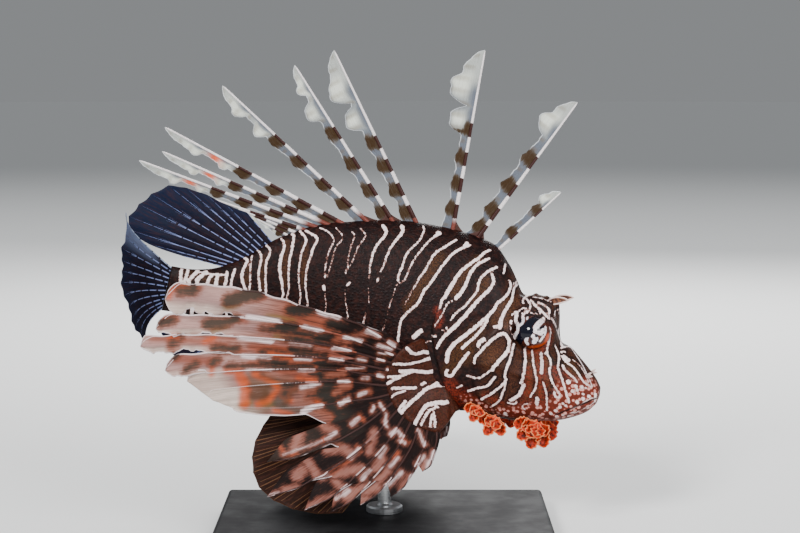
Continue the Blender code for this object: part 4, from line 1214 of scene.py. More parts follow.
def thinSheet(name, grids, at, material, values, thickness, merges=()):
    # sewn grids with a small thickness; values are lists with one array for each grid
    flesh, world, faces, used = sewn(grids, at, merges)
    kept = {"flesh": flesh}
    for label, parts in values.items():
        parts = [np.asarray(part).reshape(len(part) * len(part[0]), -1) for part in parts]
        joined = np.concatenate(parts)[used]
        kept[label] = joined[:, 0] if joined.shape[1] == 1 else joined
    made = meshObject(name, world, faces, material, kept)
    solid = made.modifiers.new("thickness", "SOLIDIFY")
    solid.thickness = thickness * mm
    solid.offset = 0
    return finished(made)


def blotch(t, length, centres, half):
    # distance in mm from the nearest dark bar along a ray, below zero in it
    field = np.full(np.shape(t), 99.0)
    for centre in centres:
        field = np.minimum(field, (np.abs(t - centre) - half) * length)
    return field


# membranes: colour at each point, with ragged dark bars, streaks and freckles

finLook = {
    "haloColour": (0.17, 0.040, 0.018),
    "edgeColour": (0.66, 0.58, 0.59),
    "streakColour": (0.055, 0.018, 0.012),
    "ragged": 1.6,  # mm that the edge of a bar wanders
    "gloss": 0.1,
    "rayRoughness": 0.4,
    "rayGloss": 0.2,
}


def finNodes(shade, given):
    flesh, lie, halo, edge = (given[label] for label in ("Flesh", "Lie", "Halo", "Edge"))
    streak = shade.noise(shade.squeezed(lie, (0.13, 1.5, 1)), 1.0, 4, 0.6)
    along = shade.times(shade.math("SUBTRACT", streak, 0.5), finLook["ragged"] * 4.5)
    field = shade.plus(shade.plus(given["Bar"], given["Wander"]), along)
    dark = shade.times(shade.between(streak, 0.42, 0.75), given["Streaks"])
    # fine dark lines along the rays
    thin = shade.between(shade.noise(shade.squeezed(lie, (0.035, 1.1, 1)), 1.0, 3, 0.5), 0.47, 0.6)
    dark = shade.math("MAXIMUM", dark, shade.times(thin, given["Fine Lines"]))
    base = shade.mix(dark, given["Tint"], finLook["streakColour"])
    light = shade.times(shade.between(streak, 0.4, 0.2), shade.times(given["Streaks"], 0.6))
    base = shade.mix(light, base, edge)
    freckle = shade.between(shade.noise(flesh, 1.7, 3, 0.6), 0.6, 0.72)
    base = shade.mix(shade.times(freckle, 0.2), base, halo)
    base = shade.mix(shade.times(shade.between(field, given["Halo Reach"], 0.0), 0.7), base, halo)
    margin = shade.plus(given["Margin"], shade.times(given["Wander"], 0.15))
    base = shade.mix(shade.times(shade.between(margin, 0.8, 0.25), 0.8), base, edge)
    inBar = shade.times(shade.between(field, 2.3, -1.9), shade.between(streak, 0.2, 0.45, 0.72, 1.0))
    ribs = shade.plus(streak, shade.times(shade.noise(flesh, 1.2), 0.5))
    return {"Colour": shade.mix(inBar, base, given["Bar Colour"]), "Streak": streak, "Ribs": ribs}


finPaint = effectGroup(
    "finPaint",
    {
        "Flesh": "Vector", "Lie": "Vector", "Tint": "Color", "Bar Colour": "Color", "Halo": "Color",
        "Edge": "Color", "Bar": "Float", "Margin": "Float", "Wander": "Float", "Streaks": "Float",
        "Halo Reach": "Float", "Fine Lines": "Float",
    },
    {"Colour": "Color", "Streak": "Float", "Ribs": "Float"}, finNodes,
)


def finMaterial(name, bar, halo, edge, streaks, roughness, haloReach=2.6, fineLines=False):
    made, shade, shader = newMaterial(name, roughness, finLook["gloss"])
    flesh = shade.attribute("flesh", "Vector")
    paint = shade.effect(
        finPaint, Flesh=flesh, Lie=shade.attribute("lie", "Vector"), Tint=shade.attribute("tint", "Color"),
        Bar_Colour=bar or shade.attribute("barTint", "Color"), Halo=halo, Edge=edge,
        Bar=shade.attribute("bar"), Margin=shade.attribute("margin"),
        Wander=ragged(shade, flesh, 0.35, 4, 0.6, finLook["ragged"] * 2), Streaks=streaks,
        Halo_Reach=haloReach, Fine_Lines=shade.attribute("streaky") if fineLines else 0,
    )
    rough = shade.between(paint["Streak"], 0.2, 0.8, roughness - 0.08, roughness + 0.1)
    shade.finish(shader, paint["Colour"], rough, paint["Ribs"], 0.5, 0.0003)
    return made


def rayNodes(shade, given):
    place, bar = given["Place"], given["Bar Colour"]
    grime = shade.times(shade.between(shade.noise(place, 1500), 0.45, 0.75), 0.35)
    base = shade.mix(grime, given["Tint"], bar)
    inBar = shade.between(shade.plus(given["Bar"], given["Wander"]), 0.2, -0.2)
    return {"Colour": shade.mix(inBar, base, bar), "Height": shade.noise(place, 1800)}


rayPaint = effectGroup(
    "rayPaint",
    {"Place": "Vector", "Tint": "Color", "Bar Colour": "Color", "Bar": "Float", "Wander": "Float"},
    {"Colour": "Color", "Height": "Float"}, rayNodes,
)


def rayMaterial(name, bar):
    roughness = finLook["rayRoughness"]
    made, shade, shader = newMaterial(name, roughness, finLook["rayGloss"])
    place = shade.place()
    paint = shade.effect(
        rayPaint, Place=place, Tint=shade.attribute("tint", "Color"), Bar_Colour=bar,
        Bar=shade.attribute("bar"), Wander=ragged(shade, place, 900, 3, 0.55, 1.2),
    )
    rough = shade.between(shade.noise(place, 700, 2), 0.3, 0.7, roughness - 0.06, roughness + 0.12)
    shade.finish(shader, paint["Colour"], rough, paint["Height"], 0.35, 0.0002)
    return made


# pectoral fins: fourteen feathered rays, joined part of the way and free beyond

pectoral = {
    # length, first and last angle above straight back, first and last angle out from the side,
    # how far the membrane joins it to the next ray, and how far out from the root it is dark
    "rays": (
        (150, 17, -11, 38, 20, 0.68, 0.33), (149, 11, -17, 38, 20, 0.68, 0.27),
        (154, 5, -17, 38, 20, 0.68, 0.22), (137, 0, -20, 38, 20, 0.86, 0.35),
        (123, -3, -19, 38, 20, 1, 0.39), (108, -9, -21, 38, 20, 1, 0.43), (98, -31, -1, 38, 20, 0.5, 0.46),
        (86, -49, -26, 40, 22, 0.5, 2), (97, -60, -33, 40, 24, 0.66, 2), (85, -71, -43, 41, 25, 0.66, 2),
        (76, -77, -48, 42, 26, 0.66, 2), (62, -83, -53, 43, 27, 0.66, 2), (49, -92, -62, 44, 28, 0.66, 2),
        (27, -100, -76, 44, 28, 0.68, 2),
    ),
    "rows": 110,
    "columns": 7,  # on each side of a ray
    "freeAbove": 8.6,
    "freeBelow": 5.2,
    "rodRoot": 0.8,
    "rodTip": 0.3,
    "ruffle": 0.9,
    # for each ray, how pale its thick edge is, and where it runs from -1 above to 1 below
    "rodPale": (0.7, 0.7, 0.7, 0.7, 0.7, 0.35, 0.1, 0.45, 0.45, 0.45, 0.45, 0.45, 0.45, 0.45),
    "rodSide": (-0.93, -0.93, -0.93, -0.93, -0.93, -0.93, -0.45, 0.4, 0.4, 0.4, 0.4, 0.4, 0.4, 0.4),
}

# its markings in the picture: width at the start and at the end, then points of the line, in pixels
pectoralMarks = {
    "dark": (
        (7, 9, (181, 290), (193, 289)), (9, 12, (229, 301), (244, 296), (258, 292)),
        (8, 9, (291, 310), (303, 310), (316, 308)), (8, 10, (330, 324), (342, 326), (356, 330)),
        (6, 5, (163, 322), (172, 320)), (6, 6, (207, 324), (222, 322), (236, 319)),
        (7, 8, (279, 327), (294, 327)), (6, 9, (314, 338), (330, 338)), (3, 4, (172, 344), (180, 338)),
        (3, 4, (214, 348), (236, 349)), (5, 6, (291, 349), (310, 349)), (5, 3, (171, 357), (177, 356)),
        (3, 2, (212, 363), (219, 358)), (5, 4, (262, 361), (285, 364)), (5, 6, (320, 366), (344, 365)),
        (3, 3, (283, 386), (303, 384.5)), (3, 16, (309, 397), (324, 394), (330, 393)),
        (6, 8, (320, 377), (335, 376)), (2.5, 2.5, (285, 393), (285, 395)), (2, 3, (185, 371), (196, 364)),
        # the four thin lines from here on are painted shadow under the pale edges of the upper rays
        (2, 3, (262, 352), (325, 355)), (2, 3, (228, 366), (312, 367)), (2, 3, (285, 338), (340, 345)),
        (2, 3, (262, 328), (315, 335)),
    ),
    "olive": (
        (9, 8, (228, 306), (236, 303)), (6, 5, (213, 330), (225, 326)), (4, 4, (268, 317), (292, 320)),
        (3, 3, (266, 376), (281, 385)), (4, 4, (262, 403), (273, 404)), (3, 3, (240, 405), (250, 402)),
        (4, 3, (276, 336), (300, 340)), (4, 3, (374, 352), (386, 356)),
    ),
    "brick": (
        (5, 8, (244, 289), (262, 296)), (4, 5, (226, 316), (246, 321)), (4, 4, (192, 335), (234, 339)),
        (9, 8, (178, 358), (216, 361)), (6, 9, (250, 347), (290, 352)), (5, 6, (296, 353), (340, 356)),
        (4, 4, (250, 363), (262, 365)), (5, 5, (322, 329), (333, 331)),
        (5, 5, (152, 338), (180, 340), (226, 344)), (4, 5, (160, 319), (176, 318)),
        (4, 4, (166, 287), (180, 285), (200, 287)), (4, 4, (215, 350), (245, 351)),
        (3, 3, (280, 373), (300, 375)), (6, 5, (170, 349), (190, 352)),
    ),
    "ember": (
        (3, 3, (169, 297), (173, 289), (188, 284)), (3, 3, (154, 326), (156, 319), (166, 316)),
        (5, 4, (227, 371), (241, 371)), (3, 3, (212, 368), (211, 374)),
        (8, 9, (239, 374), (245, 388), (244, 403)),
        (6, 5, (256, 373), (269, 379), (279, 388), (272, 397), (258, 404)), (4, 5, (270, 354), (290, 356)),
        (3, 3, (286, 399), (291, 401)), (3, 3, (298, 379), (316, 380)), (5, 4, (150, 333), (178, 338)),
        (4, 4, (315, 400), (319, 403)), (3, 3, (205, 341), (214, 338)),
        (3, 2, (280, 447), (287, 455), (297, 453)), (4, 3, (323, 440), (325, 438)),
        (3, 3, (359, 416), (363, 420)), (3, 3, (357, 447), (360, 451)), (3, 3, (394, 458), (398, 453)),
        (3, 3, (402, 440), (407, 442)), (2, 2, (329, 474), (340, 466), (350, 461)),
        (2.5, 2, (275, 410), (291, 413.5)),
    ),
    "tan": (
        (13, 14, (250, 380), (261, 381)), (14, 12, (272, 385), (268, 400)), (8, 8, (246, 406), (266, 409)),
    ),
    "bronze": (
        (10, 12, (254, 395), (263, 394)), (4, 4, (290, 391), (297, 390)), (4, 4, (251, 386), (268, 386.5)),
        (6, 6, (286, 378), (291, 390), (284, 404)), (5, 7, (306, 386), (318, 391), (325, 398)),
    ),
    "slate": (
        (9, 8, (284, 392), (277, 402)), (4, 4, (262, 374), (282, 380), (299, 384)),
        (4, 3, (277, 406), (302, 411)),
    ),
    "salmon": (
        (9, 8, (302, 390), (313, 389)), (7, 7, (296, 402), (311, 402)), (5, 5, (268, 374), (291, 378)),
        (3, 4, (355, 334), (366, 335)), (3, 3, (334, 341), (350, 343)), (5, 6, (327, 375), (343, 373)),
        (6, 8, (335, 392), (348, 384)), (4, 5, (358, 396), (369, 391)),
        (8, 7, (300, 424), (299, 436), (295, 447)), (5, 5, (312, 419), (322, 426), (334, 431)),
        (5, 4, (317, 411), (331, 416)), (5, 5, (327, 450), (340, 448), (351, 453)),
        (4, 4, (306, 460), (312, 468), (318, 476)), (6, 5, (297, 476), (303, 470)),
        (5, 5, (286, 491), (300, 488), (313, 486)), (3, 3, (374, 432), (371, 443), (369, 452)),
        (4, 4, (382, 459), (376, 468)), (5, 5, (334, 475), (348, 471), (360, 469)),
        (3, 4, (336, 482), (343, 488), (349, 491)), (6, 5, (310, 507), (322, 503), (334, 498)),
        (4, 4, (378, 480), (386, 472)), (8, 6, (347, 496), (360, 491), (376, 487)),
        (6, 5, (333, 511), (350, 507), (366, 500)), (5, 5, (368, 503), (380, 497), (392, 489)),
        (4, 4, (395, 497), (403, 488), (410, 478)), (5, 4, (410, 487), (420, 474), (428, 462)),
        (3, 3, (420, 481), (430, 470), (436, 455)),
    ),
    "pale": (
        (5, 5, (318, 311), (338, 318)), (5, 4, (367, 331), (379, 336)), (4, 4, (389, 341), (395, 345)),
        (4, 4, (248, 317), (279, 321.5)), (4, 4, (304, 327), (321, 331)),
        (4.5, 4.5, (345, 337), (361, 340.5)), (5, 5, (378, 345.5), (391, 349)),
        (3, 3, (240, 337.5), (272, 342)), (3, 3, (291, 343.5), (311, 346)), (3, 3, (333, 348), (350, 350)),
        (2, 2, (378, 353), (392, 354)), (4, 4, (243, 356), (270, 357.5)),
        (2.5, 2.5, (295, 358.5), (311, 359.5)), (3, 3, (330, 359), (342, 360)),
        (4, 4, (358, 359), (365, 359.5)), (3, 3, (377, 360), (383, 360.5)), (2, 2, (246, 369), (270, 370)),
        (2, 2, (298, 370.5), (314, 370.5)), (2.5, 2.5, (346, 368.5), (364, 368)),
        (2.5, 2.5, (387, 369), (391, 371)), (4, 4, (362, 378.5), (368, 378)),
        (3, 3, (338, 382), (349, 381)), (4, 4, (378, 375), (382, 376)), (4, 3, (301, 387), (320, 384)),
        (5, 4, (303, 412), (311, 408), (321, 406)), (5, 5, (340, 404), (348, 399)),
        (4, 4, (359, 395), (365, 392.5)), (4, 3, (372, 411), (374, 406)), (4, 3, (380, 404), (383, 409)),
        (3, 3, (386, 414), (385, 423), (387, 427)), (5, 5, (391, 434), (397, 431), (401, 436)),
        (4, 4, (400, 441), (405, 443)), (4, 4, (326, 439), (336, 433)), (5, 4, (352, 424), (358, 418)),
        (5, 4, (350, 458), (358, 449)), (5, 4, (316, 481), (328, 475)), (5, 4, (362, 479), (370, 470)),
        (5, 4, (379, 456), (385, 448)), (4, 3, (337, 499), (349, 490)), (4, 4, (390, 467), (398, 458)),
        (5, 4, (386, 486), (394, 480), (402, 472)), (4, 4, (417, 465), (424, 456)),
        (4, 3, (424, 445), (419, 431)), (3, 3, (427, 468), (433, 452)),
        (7, 4, (266, 453), (274, 446), (280, 441)), (3, 3, (266, 495), (278, 493)),
        (2, 2, (283, 455), (303, 448), (322, 441)),
    ),
}
pectoralColours = {
    "tan": (0.12, 0.066, 0.044), "bronze": (0.062, 0.027, 0.011), "slate": (0.045, 0.041, 0.031),
    "dusky": (0.15, 0.07, 0.058), "olive": (0.11, 0.09, 0.018), "brick": (0.215, 0.043, 0.019),
    "ember": (0.46, 0.06, 0.008), "salmon": (0.235, 0.088, 0.062), "pale": (0.74, 0.6, 0.6),
    "rose": (0.39, 0.228, 0.2), "mauve": (0.205, 0.118, 0.115), "cream": (0.56, 0.455, 0.39),
    "upperDark": (0.018, 0.014, 0.011), "outerDark": (0.052, 0.035, 0.026),
    "lowerDark": (0.0062, 0.0026, 0.0022),
}


def pectoralRays(sign, spread, drop):
    lines = []
    count = len(pectoral["rays"])
    for k, (length, rise, fall, out, back, *_) in enumerate(pectoral["rays"]):
        turn = math.radians(32 - 128 * k / (count - 1))
        root = padMiddle(pad["reach"] - 2, np.array(turn), sign)
        outs = (sign * (out + spread), sign * (back + spread))
        lines.append(curvedRay(root, length + 2, (rise - drop, fall - drop), outs, pectoral["rows"]))
    return np.array(lines)


def blended(colour, name, share):
    return towards(colour, pectoralColours[name], share)


def pectoralPaint(canvas, flesh, k, t, c):
    # colours and bars at places at t along ray k, c across it from -1 above to 1 below
    target = sideOf(flesh)
    lower, middle = ramp(k, 6.4, 7.4), ramp(k, 3.4, 4.4) * ramp(k, 6.8, 6.4)
    colour = np.tile(np.array(pectoralColours["salmon"]), (len(flesh), 1))
    colour = blended(colour, "rose", (1 - lower) * ramp(t, 0.45, 0.75))
    colour = blended(colour, "brick", (1 - lower) * 0.72 * ramp(t, 0.7, 0.45))
    colour = blended(colour, "dusky", middle * 0.75 * ramp(t, 0.4, 0.55))
    clouds = (1 - middle) * 0.5 * ramp(np.sin(9 * t + 2.3 * k + 2 * c), 0, 1)
    colour = blended(colour, "mauve", np.maximum(lower * 0.6, clouds))
    colour = blended(colour, "cream", middle * ramp(t - 0.03 * c, 0.78, 0.88))
    colour = blended(colour, "cream", ramp(k, 3.5, 2.5) * 0.75 * ramp(t, 0.66, 0.9) * ramp(c, -0.1, 0.7))
    for name in ("tan", "olive", "brick", "ember", "bronze", "slate"):
        reach = lineField(canvas, target, (pectoralMarks[name],))
        colour = blended(colour, name, (0.7 if name in ("brick", "olive") else 0.8) * ramp(reach, 2.6, -1.4))
    windows = lineField(canvas, target, (pectoralMarks["ember"],))
    for name in ("salmon", "pale"):
        reach = lineField(canvas, target, (pectoralMarks[name],))
        windows = np.minimum(windows, reach - (1.3 if name == "salmon" else 0.2) * lower)
        colour = blended(colour, name, (1 - 0.3 * lower if name == "pale" else 0.6) * ramp(reach, 0.8, -0.6))
    lengths = np.array([ray[0] for ray in pectoral["rays"]])[k.astype(int)]
    zone = np.array([ray[6] for ray in pectoral["rays"]])[k.astype(int)]
    bar = lineField(canvas, target, (pectoralMarks["dark"],)) - 0.7
    bar = np.minimum(bar, (t - zone - 0.04 * np.cos(5 * c)) * lengths)
    # below, a dark line of painted shadow runs along the far side of each ray's thick edge
    shadow = np.abs(c - 0.62 - 0.3 * ramp(t, 0.62, 0.8)) * 7 - 0.8
    bar = np.maximum(np.clip(bar, -2.6, 9), 0.6 - windows)
    bar = np.where((lower > 0.5) & (t > 0.3), np.minimum(bar, shadow), bar)
    barTint = np.tile(np.array(pectoralColours["upperDark"]), (len(flesh), 1))
    barTint = blended(barTint, "outerDark", ramp(t, 0.5, 0.72))
    barTint = blended(barTint, "lowerDark", np.maximum(lower, ramp(t, 0.4, 0.25)))
    streaky = np.maximum((1 - lower) * (0.2 + 0.6 * ramp(t, 0.8, 0.45)), 0.25 * lower)
    return {"tint": colour, "bar": bar, "barTint": barTint, "streaky": streaky}


def leafBreadth(k, way, t, room, tip):
    # how far the web of ray k goes above it (way -1) or below it (way 1) where nothing joins it
    length, above = pectoral["rays"][k][0], way < 0
    free = pectoral["freeAbove"] * (1.15 if k == 0 else 1) if above else pectoral["freeBelow"]
    leaf = np.minimum(room, free * (0.62 + 0.38 * ramp(t, 0.4, 0.75)) * tip)
    leaf *= 1 + 0.05 * np.sin(t * length * 0.4 + 2.1 * k)
    if k > 6:
        # below, each ray is the near edge of a pointed leaf that goes on under the ray above it
        leaf = (np.minimum(room * 2.2, 10) * ramp(t, 1.04, 0.8) if above else 2.6 * ramp(t, 1.02, 0.8)) * tip
    if above:
        return leaf
    if k == 6:
        leaf *= 0.4
    if k == 0:
        # broad and torn, it goes on behind the ray below it
        leaf = np.minimum(room * 1.2, 9.5) * tip
    if k < 5:
        # torn below towards the tip
        tears = np.abs(np.sin(t * length * 0.13 + 1.9 * k) * np.sin(t * length * 0.29 + 0.7 * k))
        tears = tears + 0.12 * np.sin(t * length * 1.7)
        leaf *= 1 - 0.5 * np.clip(tears, 0, 1) * ramp(t, 0.66, 0.8)
    return leaf


def webEdge(lines, k, way, t, tip, across, normal, outward):
    # the line that the web of ray k ends at on one side: halfway to the next ray, or a free edge
    count, other, length = len(lines), k + way, pectoral["rays"][k][0]
    inside = 0 <= other < count
    room = np.linalg.norm(lines[other] - lines[k], axis=1) * 0.47 if inside else np.full(len(t), 99.0)
    outside = lines[k] + way * across[k] * leafBreadth(k, way, t, room, tip)[:, None]
    wave = pectoral["ruffle"] * np.sin(t * length * 0.33 + 1.7 * k + way) * ramp(t, 0.5, 0.85) * tip
    outside = outside + normal[k] * wave[:, None]
    if k > 6 and way < 0 or k == 0 and way > 0:
        outside = outside - (1.6 if k > 6 else 1.2) * outward[k]
    if not inside:
        return lines[k] + (outside - lines[k]) * (0.25 + 0.75 * ramp(t, 0, 0.12))[:, None]
    join = pectoral["rays"][min(k, other)][5]
    shared = (lines[k] + lines[other]) / 2
    return shared + (outside - shared) * ramp(t, join, join + 0.07)[:, None]


def pectoralSheet(lines):
    # the webs: each ray's grid of points, and how far each point is from a free edge
    count, rows, wide = len(lines), pectoral["rows"], pectoral["columns"]
    t = np.linspace(0, 1, rows)
    joins = np.array([ray[5] for ray in pectoral["rays"]])
    runs = np.array([runAlong(line) for line in lines])
    low, high = np.maximum(np.arange(count) - 1, 0), np.minimum(np.arange(count) + 1, count - 1)
    apart = lines[high] - lines[low]
    across = unit(apart - runs * (apart * runs).sum(-1, keepdims=True))
    normal = unit(np.cross(runs, across))
    outward = normal * np.sign(normal[..., 1:2] * lines[0, -1, 1])
    tip = np.sqrt(np.clip((1 - t) / 0.06, 0, 1) * (2 - np.clip((1 - t) / 0.06, 0, 1)))
    c = np.concatenate((np.linspace(-1, 0, wide + 1), np.linspace(0, 1, wide + 1)[1:]))
    grids, margins, lies = [], [], []
    for k in range(count):
        above, below = (webEdge(lines, k, way, t, tip, across, normal, outward) for way in (-1, 1))
        amount = np.abs(c)[None, :, None]
        edge = np.where((c < 0)[None, :, None], above[:, None], below[:, None])
        grid = lines[k][:, None] * (1 - amount) + edge * amount
        sag = 0.6 * np.sin(np.pi * np.abs(c))[None] * ramp(t, 0, 0.2)[:, None]
        grids.append(grid - normal[k][:, None] * sag[..., None] * np.sign(lines[0, -1, 1]))
        reach = np.linalg.norm(edge - lines[k][:, None], axis=-1)
        joined = np.where(c < 0, joins[max(k - 1, 0)] if k else 0.1, joins[k] if k < count - 1 else 0.1)
        margin = np.where(t[:, None] > joined, reach * (1 - np.abs(c)), 9.0)
        margins.append(np.where((k > 6) & (c < 0), 9.0, margin))
        length = pectoral["rays"][k][0]
        lies.append(np.stack((*np.broadcast_arrays(t[:, None] * length, c * reach, 7.0 * k),), -1))
    merges = [(k, k + 1, int(np.floor(joins[k] * (rows - 1))) + 1) for k in range(count - 1)]
    return grids, merges, margins, lies, c, t


def pectoralRods(grids, t):
    # each ray's thick edge runs from the root to one side of its web
    wide = pectoral["columns"]
    places, spots = [], []
    for k, grid in enumerate(grids):
        spot = pectoral["rodSide"][k] * ramp(t, 0.0, 0.3) + (0.5 * ramp(t, 0.62, 0.8) if k > 6 else 0)
        spot = spot * (1 - 0.5 * ramp(t, 0.94, 1))
        column = (spot + 1) * wide
        left = np.clip(np.floor(column).astype(int), 0, 2 * wide - 1)
        part = (column - left)[:, None]
        row = np.arange(len(t))
        places.append(grid[row, left] * (1 - part) + grid[row, left + 1] * part)
        spots.append(spot)
    return places, spots


pectoralValues = {}


def pectoralFin(side, sign, spread, drop, matter, rodMatter):
    grids, merges, margins, lies, c, t = pectoralSheet(pectoralRays(sign, spread, drop))
    places, spots = pectoralRods(grids, t)
    count, station = len(grids), pad["station"]
    if sign < 0:
        # the picture shows this fin, and the other one takes over its markings
        flesh, world, faces, _ = sewn(grids, [station] * count, merges)
        canvas = Canvas(world, flesh, faces)
        k, along, over = (g.ravel() for g in np.meshgrid(np.arange(count) * 1.0, t, c, indexing="ij"))
        paint = pectoralPaint(canvas, np.array(grids).reshape(-1, 3), k, along, over)
        shape = (count, len(t), len(c), -1)
        pectoralValues["sheet"] = {label: list(v.reshape(shape)) for label, v in paint.items()}
        k, along = (g.ravel() for g in np.meshgrid(np.arange(count) * 1.0, t, indexing="ij"))
        paint = pectoralPaint(canvas, np.concatenate(places), k, along, np.concatenate(spots))
        pectoralValues["rods"] = {label: v.reshape(count, len(t), -1) for label, v in paint.items()}
    values = dict(pectoralValues["sheet"], lie=lies, margin=margins)
    sheet = thinSheet(f"pectoralMembrane_{side}", grids, [station] * count, matter, values, 0.34, merges)
    setOut(sheet, "pectoral_fin", f"pectoral_fin_{side}")
    swept, paint = [], pectoralValues["rods"]
    for k in range(count):
        tint = blended(paint["tint"][k], "pale", ramp(t, 0.3, 0.55) * pectoral["rodPale"][k])
        radii = pectoral["rodRoot"] + (pectoral["rodTip"] - pectoral["rodRoot"]) * t ** 0.8
        radii[-1] = 0.12
        swept.append((swim(places[k], station), radii, {"bar": paint["bar"][k][:, 0], "tint": tint}))
    setOut(rods(f"pectoralRays_{side}", swept, rodMatter), "pectoral_fin")


pectoralMatter = finMaterial(
    "pectoralMembrane", None, finLook["haloColour"], finLook["edgeColour"], 0.3, 0.62, 3.2, fineLines=True
)
pectoralRodMatter = rayMaterial("pectoralRays", (0.035, 0.013, 0.011))
pectoralFin("right", -1, 0, 0, pectoralMatter, pectoralRodMatter)
pectoralFin("left", 1, 13, 5, pectoralMatter, pectoralRodMatter)
print("pectoral fins are on")


# dorsal spines: banded rods, each with a flag of membrane behind it

dorsal = {
    # base, length, lean back from upright, breadth of the flag at its root and middle, then where
    # its outer and inner lobes stand along it, and their breadth
    "spines": (
        (76, 50, -33.5, 7, 4.6, 0.82, 7, 0.6, 5), (89.5, 99, -22.5, 9, 6.2, 0.81, 13, 0.6, 7),
        (105.5, 108, 3.5, 10, 5, 0.79, 17, 0.62, 14), (128, 113, 39, 10, 5.5, 0.8, 14.5, 0.64, 13),
        (142, 109, 45.5, 9, 5, 0.87, 7.5, 0.74, 11), (157, 117, 60, 9, 4.5, 0.86, 8.5, 0.72, 8.5),
        (172, 118, 74.5, 8, 4, 0.82, 7, 0.67, 6.5), (180, 106, 79, 6, 3.5, 0.81, 6, 0.66, 5.5),
        (187, 110, 82, 6, 3.5, 0.8, 6.5, 0.66, 5.5), (193, 62, 84, 5, 3, 0.75, 4.5, 0.6, 4),
        (197.5, 36, 80, 5, 3, 0.72, 3.5, 0.5, 3), (201.5, 20, 74, 4, 2.5, 0.7, 2.5, 0.5, 2.5),
    ),
    "groups": (("front", 0, 3), ("middle", 3, 6), ("rear", 6, 12)),
    # middles of the brown bands, and their half length
    "bands": (
        ((0.31, 0.67), 0.06), ((0.09, 0.21, 0.38, 0.575), 0.042), ((0.14, 0.28, 0.42, 0.575), 0.038),
        ((0.1, 0.225, 0.36, 0.49), 0.036), ((0.1, 0.236, 0.4, 0.585), 0.038),
        ((0.175, 0.31, 0.475, 0.62), 0.036), ((0.1, 0.24, 0.39, 0.565), 0.038), ((0.25, 0.42, 0.57), 0.038),
        ((0.25, 0.42, 0.57), 0.038), ((0.2, 0.5), 0.07), ((0.3, 0.65), 0.09), ((0.4,), 0.12),
    ),
    "rows": 110,
    "columns": 9,
    "sink": 5,
    "rodRoot": 1.5,
    "rodTip": 0.5,
    "emberOn": (6, 7, 8),
    "water": (0.070, 0.084, 0.115),
    "white": (0.62, 0.64, 0.56),
    "olive": (0.11, 0.068, 0.018),
    "ember": (0.62, 0.07, 0.01),
    "web": (0.05, 0.022, 0.018),
    "rod": (0.74, 0.68, 0.68),
    "rodFoot": (0.14, 0.034, 0.024),
}


def spineOutline(spine, bands, t):
    # breadth of the flag: a low web, fuller at each brown band, and two round lobes of which the
    # outer one runs out to the tip
    root, middle, outer, outerBroad, inner, innerBroad = spine[3:]
    length = spine[1]
    table = np.array((
        (0, root), (0.09, root * 0.6), (0.25, middle), (inner, middle), (outer, middle * 0.7), (1, 0.2),
    ), float)
    low = alongTable(table, t, 1)
    for centre in bands[0]:
        low = low * (1 + 0.3 * np.exp(-(((t - centre) / bands[1] / 0.9) ** 2)))
    blade = 0.72 * outerBroad * np.clip(1 - np.clip((t - outer) / (1 - outer), 0, 1) ** 2.4, 0, 1) ** 0.7
    blade = np.where(t > outer, blade, 0)
    lobes = []
    for at, broad in ((outer, outerBroad), (inner, innerBroad)):
        lobes.append(broad * np.sqrt(np.clip(1 - ((t - at) * length / (broad * 0.62)) ** 2, 0, 1)))
    return np.clip(np.maximum.reduce((low, blade, *lobes)), 0.15, None)


def spineLine(spine, t):
    base, length, lean = spine[:3]
    lean = math.radians(lean)
    run = np.array((math.sin(lean), 0, math.cos(lean)))
    back = np.array((math.cos(lean), 0, -math.sin(lean)))
    top = float(alongTable(fish["stations"], np.array(float(base)), 1))
    root = np.array((base, 0, top)) - run * dorsal["sink"]
    return root + run * ((length + dorsal["sink"]) * t)[:, None], back


def flagPaint(k, t, c):
    # tint of a spine's flag, and how far each place is from a brown band, in mm
    spine, (centres, half) = dorsal["spines"][k], dorsal["bands"][k]
    length, twoLobed = spine[1], k > 1
    lobes = np.exp(-(((t - spine[5]) / 0.06) ** 2)) + twoLobed * np.exp(-(((t - spine[7]) / 0.045) ** 2))
    lobes = np.clip(lobes, 0, 1) * ramp(c, 0.15, 0.5) * ramp(c, 1.05, 0.8)
    beyond = ramp(t, spine[5] - 0.02, spine[5] + 0.06)
    tint = towards(dorsal["water"], dorsal["white"], np.clip(0.05 + 0.9 * lobes + 0.42 * beyond, 0, 0.95))
    fleck = ramp(c, 0.2, 0.6) * ramp(np.sin(t * length * 0.9 + k), 0, 1)
    tint = towards(tint, dorsal["olive"], 0.35 * fleck)
    if k in dorsal["emberOn"]:
        glow = np.exp(-(((t - 0.72) / 0.035) ** 2)) * ramp(c, 0.05, 0.3)
        tint = towards(tint, dorsal["ember"], 0.85 * glow)
    near = blotch(t - 0.02 * c, length, centres, half)
    onLobe = twoLobed * ramp(t, spine[7] - 0.06, spine[7] - 0.03) * ramp(c, 0.25, 0.5)
    return tint, np.clip(near, -2, 9) + 0.3 + 8 * onLobe


def flag(k, line, back, t, c):
    # the membrane behind a spine, and its values
    length = dorsal["spines"][k][1]
    broad = spineOutline(dorsal["spines"][k], dorsal["bands"][k], t[:, 0])
    broad = broad * (1 + 0.05 * np.sin(t[:, 0] * length * 0.7 + k)) + 0.12 * np.sin(t[:, 0] * length * 1.9)
    broad = np.clip(broad, 0.15, None)[:, None]
    grid = line[:, None] + back * (broad * c)[..., None]
    grid[..., 1] += 0.5 * np.sin(t * length * 0.21 + 1.3 * k) * c ** 2 * np.clip(broad / 6, 0, 1.5)
    tint, bar = flagPaint(k, t, c)
    lie = np.stack((t * length, c * broad, np.full(t.shape, 5.0 * k)), -1)
    return grid, {"tint": tint, "bar": bar, "lie": lie, "margin": broad * (1 - c) + 0.1}


